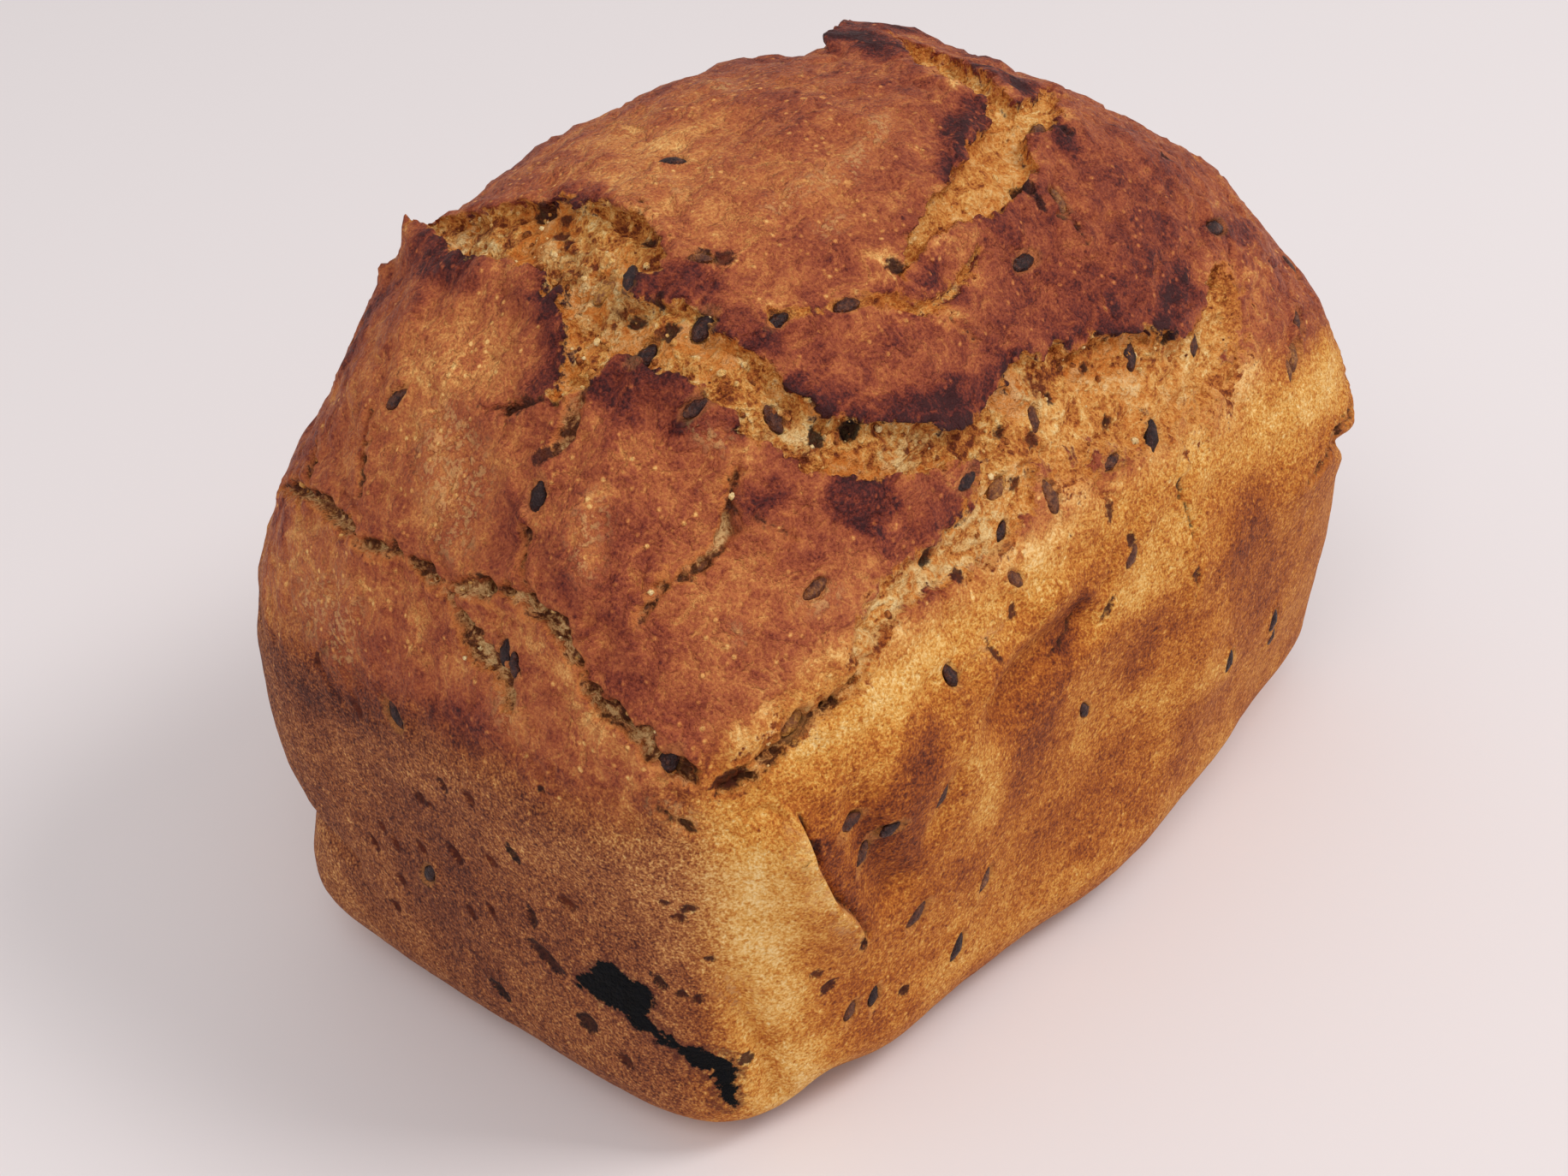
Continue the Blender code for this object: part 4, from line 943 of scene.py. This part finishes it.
# Flax seeds: kneaded into the dough and laid bare on the crust. Each is a flat, glossy drop with
# one pointed end, set half into the crust, brown on the walls and near black on the plates.
SEED_THICKNESS = 0.34
SEAT_POINTS, SEAT_SHARE = 60, 0.7
LEAST_SINK, MORE_SINK = 0.08, 0.16
crust_at = loaf_mesh.vertices
nearest = KDTree(len(crust))
for number, spot in enumerate(crust):
    nearest.insert(spot, number)
nearest.balance()
chance = np.random.default_rng(7)
spots, turns, lengths, toasts = [], [], [], []
for bearing, elevation, length, turn, toast in SEEDS:
    sink = chance.uniform(0.0, 1.0)
    middle = at_bearing(bearing, elevation)[0]
    around = [crust_at[n].co for _, n, _ in nearest.find_n(middle, SEAT_POINTS)]
    out = Vector(facing(bearing, elevation)[0])
    flat = Vector((0, 0, 1)).cross(out).normalized()
    along = flat * math.cos(math.radians(turn)) + out.cross(flat) * math.sin(math.radians(turn))
    heights = sorted((c / MM - Vector(CENTRED) - Vector(middle)).dot(out) for c in around)
    sunk = (LEAST_SINK + MORE_SINK * sink) * length * SEED_THICKNESS
    lift = heights[round(SEAT_SHARE * SEAT_POINTS)] - sunk
    spots.append((Vector(middle) + Vector(CENTRED) + out * lift) * MM)
    turns.append(Matrix((along, out.cross(along), out)).transposed().to_quaternion())
    lengths.append(length * MM)
    toasts.append(toast)
seed_points = bpy.data.meshes.new("seed_places")
seed_points.from_pydata(spots, [], [])
keep(seed_points, "QUATERNION", turn=turns)
keep(seed_points, long=lengths, toast=toasts)

seed_shape = bmesh.new()
bmesh.ops.create_uvsphere(seed_shape, u_segments=12, v_segments=9, radius=0.5)
for v in seed_shape.verts:
    t = v.co.z * 2.0
    narrow = 1.0 - 0.30 * t if t > 0 else 1.0 - 0.10 * t * t
    dimple = 1.0 + 0.22 * noise.noise(v.co * 5.0)
    v.co = Vector((t * 0.5, v.co.x * SEED_WIDTH * narrow * dimple,
                   v.co.y * SEED_THICKNESS * narrow * dimple))
seed_pattern = bpy.data.objects.new("seed_pattern", shaped("seed_one", seed_shape))

husk = Finish("flax_seed_husk")
dusted = husk.grain(1.3)
toasted = husk.measure("toast") + dusted * 1.1 + husk.grain(0.4) * 0.9
husk_colour = husk.shades(toasted, [
    (0.0, 196, 138, 66), (0.3, 142, 86, 46), (0.58, 98, 54, 36), (0.82, 66, 35, 30),
    (1.0, 42, 23, 24)])
husk.wear(Base_Color=husk_colour, Roughness=0.42 + dusted * 1.2, Specular_IOR_Level=0.30,
          Normal=husk.bumps(husk.grain(0.6), 0.8))


class Planting(Nodes):
    """A node tree that sets copies on points or faces, with its sizes as named inputs."""

    def __init__(self, name, **sizes):
        self.tree = bpy.data.node_groups.new(name, "GeometryNodeTree")
        sockets = self.tree.interface
        for way in ("INPUT", "OUTPUT"):
            sockets.new_socket("Geometry", in_out=way, socket_type="NodeSocketGeometry")
        self.ids = {}
        for size, kind in sizes.items():
            slot = sockets.new_socket(size.replace("_", " "), in_out="INPUT", socket_type=kind)
            self.ids[size] = slot.identifier
        self.start = self.tree.nodes.new("NodeGroupInput")
        self.end = self.tree.nodes.new("NodeGroupOutput")
        self.ground = self.size("Geometry")

    def size(self, name):
        """One of the tree's own inputs."""
        return Reading(self.start.outputs[name.replace("_", " ")])

    def noted(self, name, kind="FLOAT"):
        """A value that the ground's mesh keeps on its points."""
        return self.add("GeometryNodeInputNamedAttribute", {"data_type": kind}, Name=name)

    def luck(self, low, high, seed, kind="FLOAT"):
        """A random value for each copy."""
        return self.add("FunctionNodeRandomValue", {"data_type": kind}, Min=low, Max=high,
                        Seed=seed)

    def copies(self, pattern, points, rotation, scale):
        """A pattern's shape set on each point."""
        one = self.add("GeometryNodeObjectInfo", out="Geometry", Object=self.size(pattern))
        return self.add("GeometryNodeInstanceOnPoints", Points=points, Instance=one,
                        Rotation=rotation, Scale=scale)

    def grown(self, carrier, name, material, result, **values):
        """The tree run on a carrier object, as a plain mesh object of its own."""
        real = self.add("GeometryNodeRealizeInstances", Geometry=result)
        done = self.add("GeometryNodeSetMaterial", Geometry=real, Material=material)
        give(self.end.inputs[0], done)
        step = carrier.modifiers.new("planting", "NODES")
        step.node_group = self.tree
        for size, value in values.items():
            step[self.ids[size]] = value
        ready = carrier.evaluated_get(bpy.context.evaluated_depsgraph_get())
        mesh = bpy.data.meshes.new_from_object(ready)
        mesh.name = name
        carrier.modifiers.remove(step)
        return shown(name, mesh)


places = shown("seed_places", seed_points)
planting = Planting("flax_seeds", Seed="NodeSocketObject", Plumpness="NodeSocketFloat")
long_of = planting.noted("long")
plump = long_of * planting.size("Plumpness")
seed_scale = planting.add("ShaderNodeCombineXYZ", X=long_of, Y=plump, Z=plump)
set_out = planting.copies("Seed", planting.ground, planting.noted("turn", "QUATERNION"), seed_scale)
seeds = planting.grown(places, "flax_seeds", husk.material, set_out, Seed=seed_pattern,
                       Plumpness=1.0)
bpy.data.objects.remove(places)
bpy.data.objects.remove(seed_pattern)
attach(seeds, "root")

# Crumbs: bits of the inside that tore loose when the crust split and dried in the tears and
# cracks. They are lumps of rye crumb a millimetre or so across, some golden and some toasted.
CRUMB_SIZES = (0.3, 1.3)
CRUMBS_PER_SQUARE_CM = 14.0
MOSTLY_SMALL = 2.6
FULL_TURN = (6.28, 6.28, 6.28)
lump = bmesh.new()
bmesh.ops.create_uvsphere(lump, u_segments=8, v_segments=6, radius=0.5)
for v in lump.verts:
    v.co *= 1.0 + 0.9 * noise.noise(v.co * 2.6 + Vector((4.0, 1.0, 0.0)))
    v.co.z *= 0.75
lump_pattern = bpy.data.objects.new("crumb_pattern", shaped("crumb_one", lump))

dried = Finish("dried_crumb")
dried_colour = dried.shades(dried.measure("shade") + dried.grain(1.0) * 1.2, [
    (0.05, 112, 56, 28), (0.30, 180, 104, 46), (0.55, 218, 148, 74), (0.80, 242, 190, 114),
    (1.0, 250, 218, 160)])
dried.wear(Base_Color=dried_colour, Roughness=0.75, Specular_IOR_Level=0.2,
           Normal=dried.bumps(dried.grain(0.45, 2.0), 0.8))

bed = shown("crumb_bed", loaf_mesh)
strewing = Planting("crumbs", Crumb="NodeSocketObject", Crumbs_per_square_metre="NodeSocketFloat",
                    Smallest="NodeSocketFloat", Largest="NodeSocketFloat")
density = strewing.noted("crumbs") * strewing.size("Crumbs_per_square_metre")
landed = strewing.add("GeometryNodeDistributePointsOnFaces", {"distribute_method": "RANDOM"},
                      Mesh=strewing.ground, Density=density, Seed=11)
crumb_scale = strewing.add("ShaderNodeMapRange", Value=strewing.luck(0.0, 1.0, 3) ** MOSTLY_SMALL,
                           To_Min=strewing.size("Smallest"), To_Max=strewing.size("Largest"))
shaded = strewing.add("GeometryNodeStoreNamedAttribute", {"data_type": "FLOAT", "domain": "POINT"},
                      Geometry=landed, Name="shade", Value=strewing.luck(0.1, 1.0, 5))
turned = strewing.luck((0, 0, 0), FULL_TURN, 8, "FLOAT_VECTOR")
strewn = strewing.copies("Crumb", shaded, turned, crumb_scale)
crumbs = strewing.grown(bed, "crumbs", dried.material, strewn, Crumb=lump_pattern,
                        Crumbs_per_square_metre=CRUMBS_PER_SQUARE_CM * 1e4,
                        Smallest=CRUMB_SIZES[0] * MM, Largest=CRUMB_SIZES[1] * MM)
bpy.data.objects.remove(bed)
bpy.data.objects.remove(lump_pattern)
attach(crumbs, "root")

# The floor: a plain pale sheet that the loaf stands on, wide enough to fill the view. Two soft
# lamps hang above it, one on each side of the camera, in an evenly lit pale room.
FLOOR_SIZE = 6.0
ROOM_LIGHT = 0.56
LAMPS_AIM = Vector((0, 0, 0.06))
sheet = bmesh.new()
bmesh.ops.create_grid(sheet, x_segments=1, y_segments=1, size=FLOOR_SIZE)
floor = shown("floor", shaped("floor", sheet))
pale = Finish("pale_floor")
pale.wear(Base_Color=tint(236, 228, 229), Roughness=0.9, Specular_IOR_Level=0.0)
floor.data.materials.append(pale.material)

room = bpy.data.worlds.new("pale_room")
room.use_nodes = True
give(room.node_tree.nodes["Background"].inputs["Color"], (1.0, 1.0, 1.0, 1.0))
give(room.node_tree.nodes["Background"].inputs["Strength"], ROOM_LIGHT)
bpy.context.scene.world = room
bpy.context.scene.view_settings.view_transform = "Standard"


def lamp(name, place, power, size, colour):
    """A square soft light aimed at the loaf."""
    light = bpy.data.lights.new(name, "AREA")
    light.energy, light.size, light.color = power, size, colour
    facing_loaf = (LAMPS_AIM - Vector(place)).to_track_quat("-Z", "Y").to_matrix().to_4x4()
    shown(name, light).matrix_world = Matrix.Translation(place) @ facing_loaf


lamp("key", place=(0.62, -0.85, 1.30), power=10.0, size=0.5, colour=(1.0, 0.985, 0.96))
lamp("fill", place=(-0.92, -0.58, 1.30), power=7.0, size=0.9, colour=(1.0, 0.99, 0.98))

# The camera: the photograph's angle, from above the near corner of the loaf. Its turn, tilt, roll
# and distance were fitted to the loaf's outline, and the lens to the photograph's perspective.
TURN, TILT, ROLL = math.radians(-47.0), math.radians(33.95), math.radians(-2.78)
AWAY = 0.38811
TARGET = Vector((-0.00701, 0.0043, 0.04043))
SENSOR_MM = 36.0
LENS_PIXELS, PHOTO_PIXELS = 2886.2, 1832
back = Vector((math.sin(TURN) * math.cos(TILT), -math.cos(TURN) * math.cos(TILT), math.sin(TILT)))
right = Vector((0, 0, 1)).cross(back).normalized()
up = back.cross(right)
right, up = (right * math.cos(ROLL) + up * math.sin(ROLL),
             up * math.cos(ROLL) - right * math.sin(ROLL))
camera = shown("camera", bpy.data.cameras.new("camera"))
camera.data.sensor_width = SENSOR_MM
camera.data.lens = SENSOR_MM * LENS_PIXELS / PHOTO_PIXELS
camera.data.clip_start = 0.01
axes = Matrix((right, up, back)).transposed().to_4x4()
camera.matrix_world = Matrix.Translation(TARGET + back * AWAY) @ axes
bpy.context.scene.camera = camera
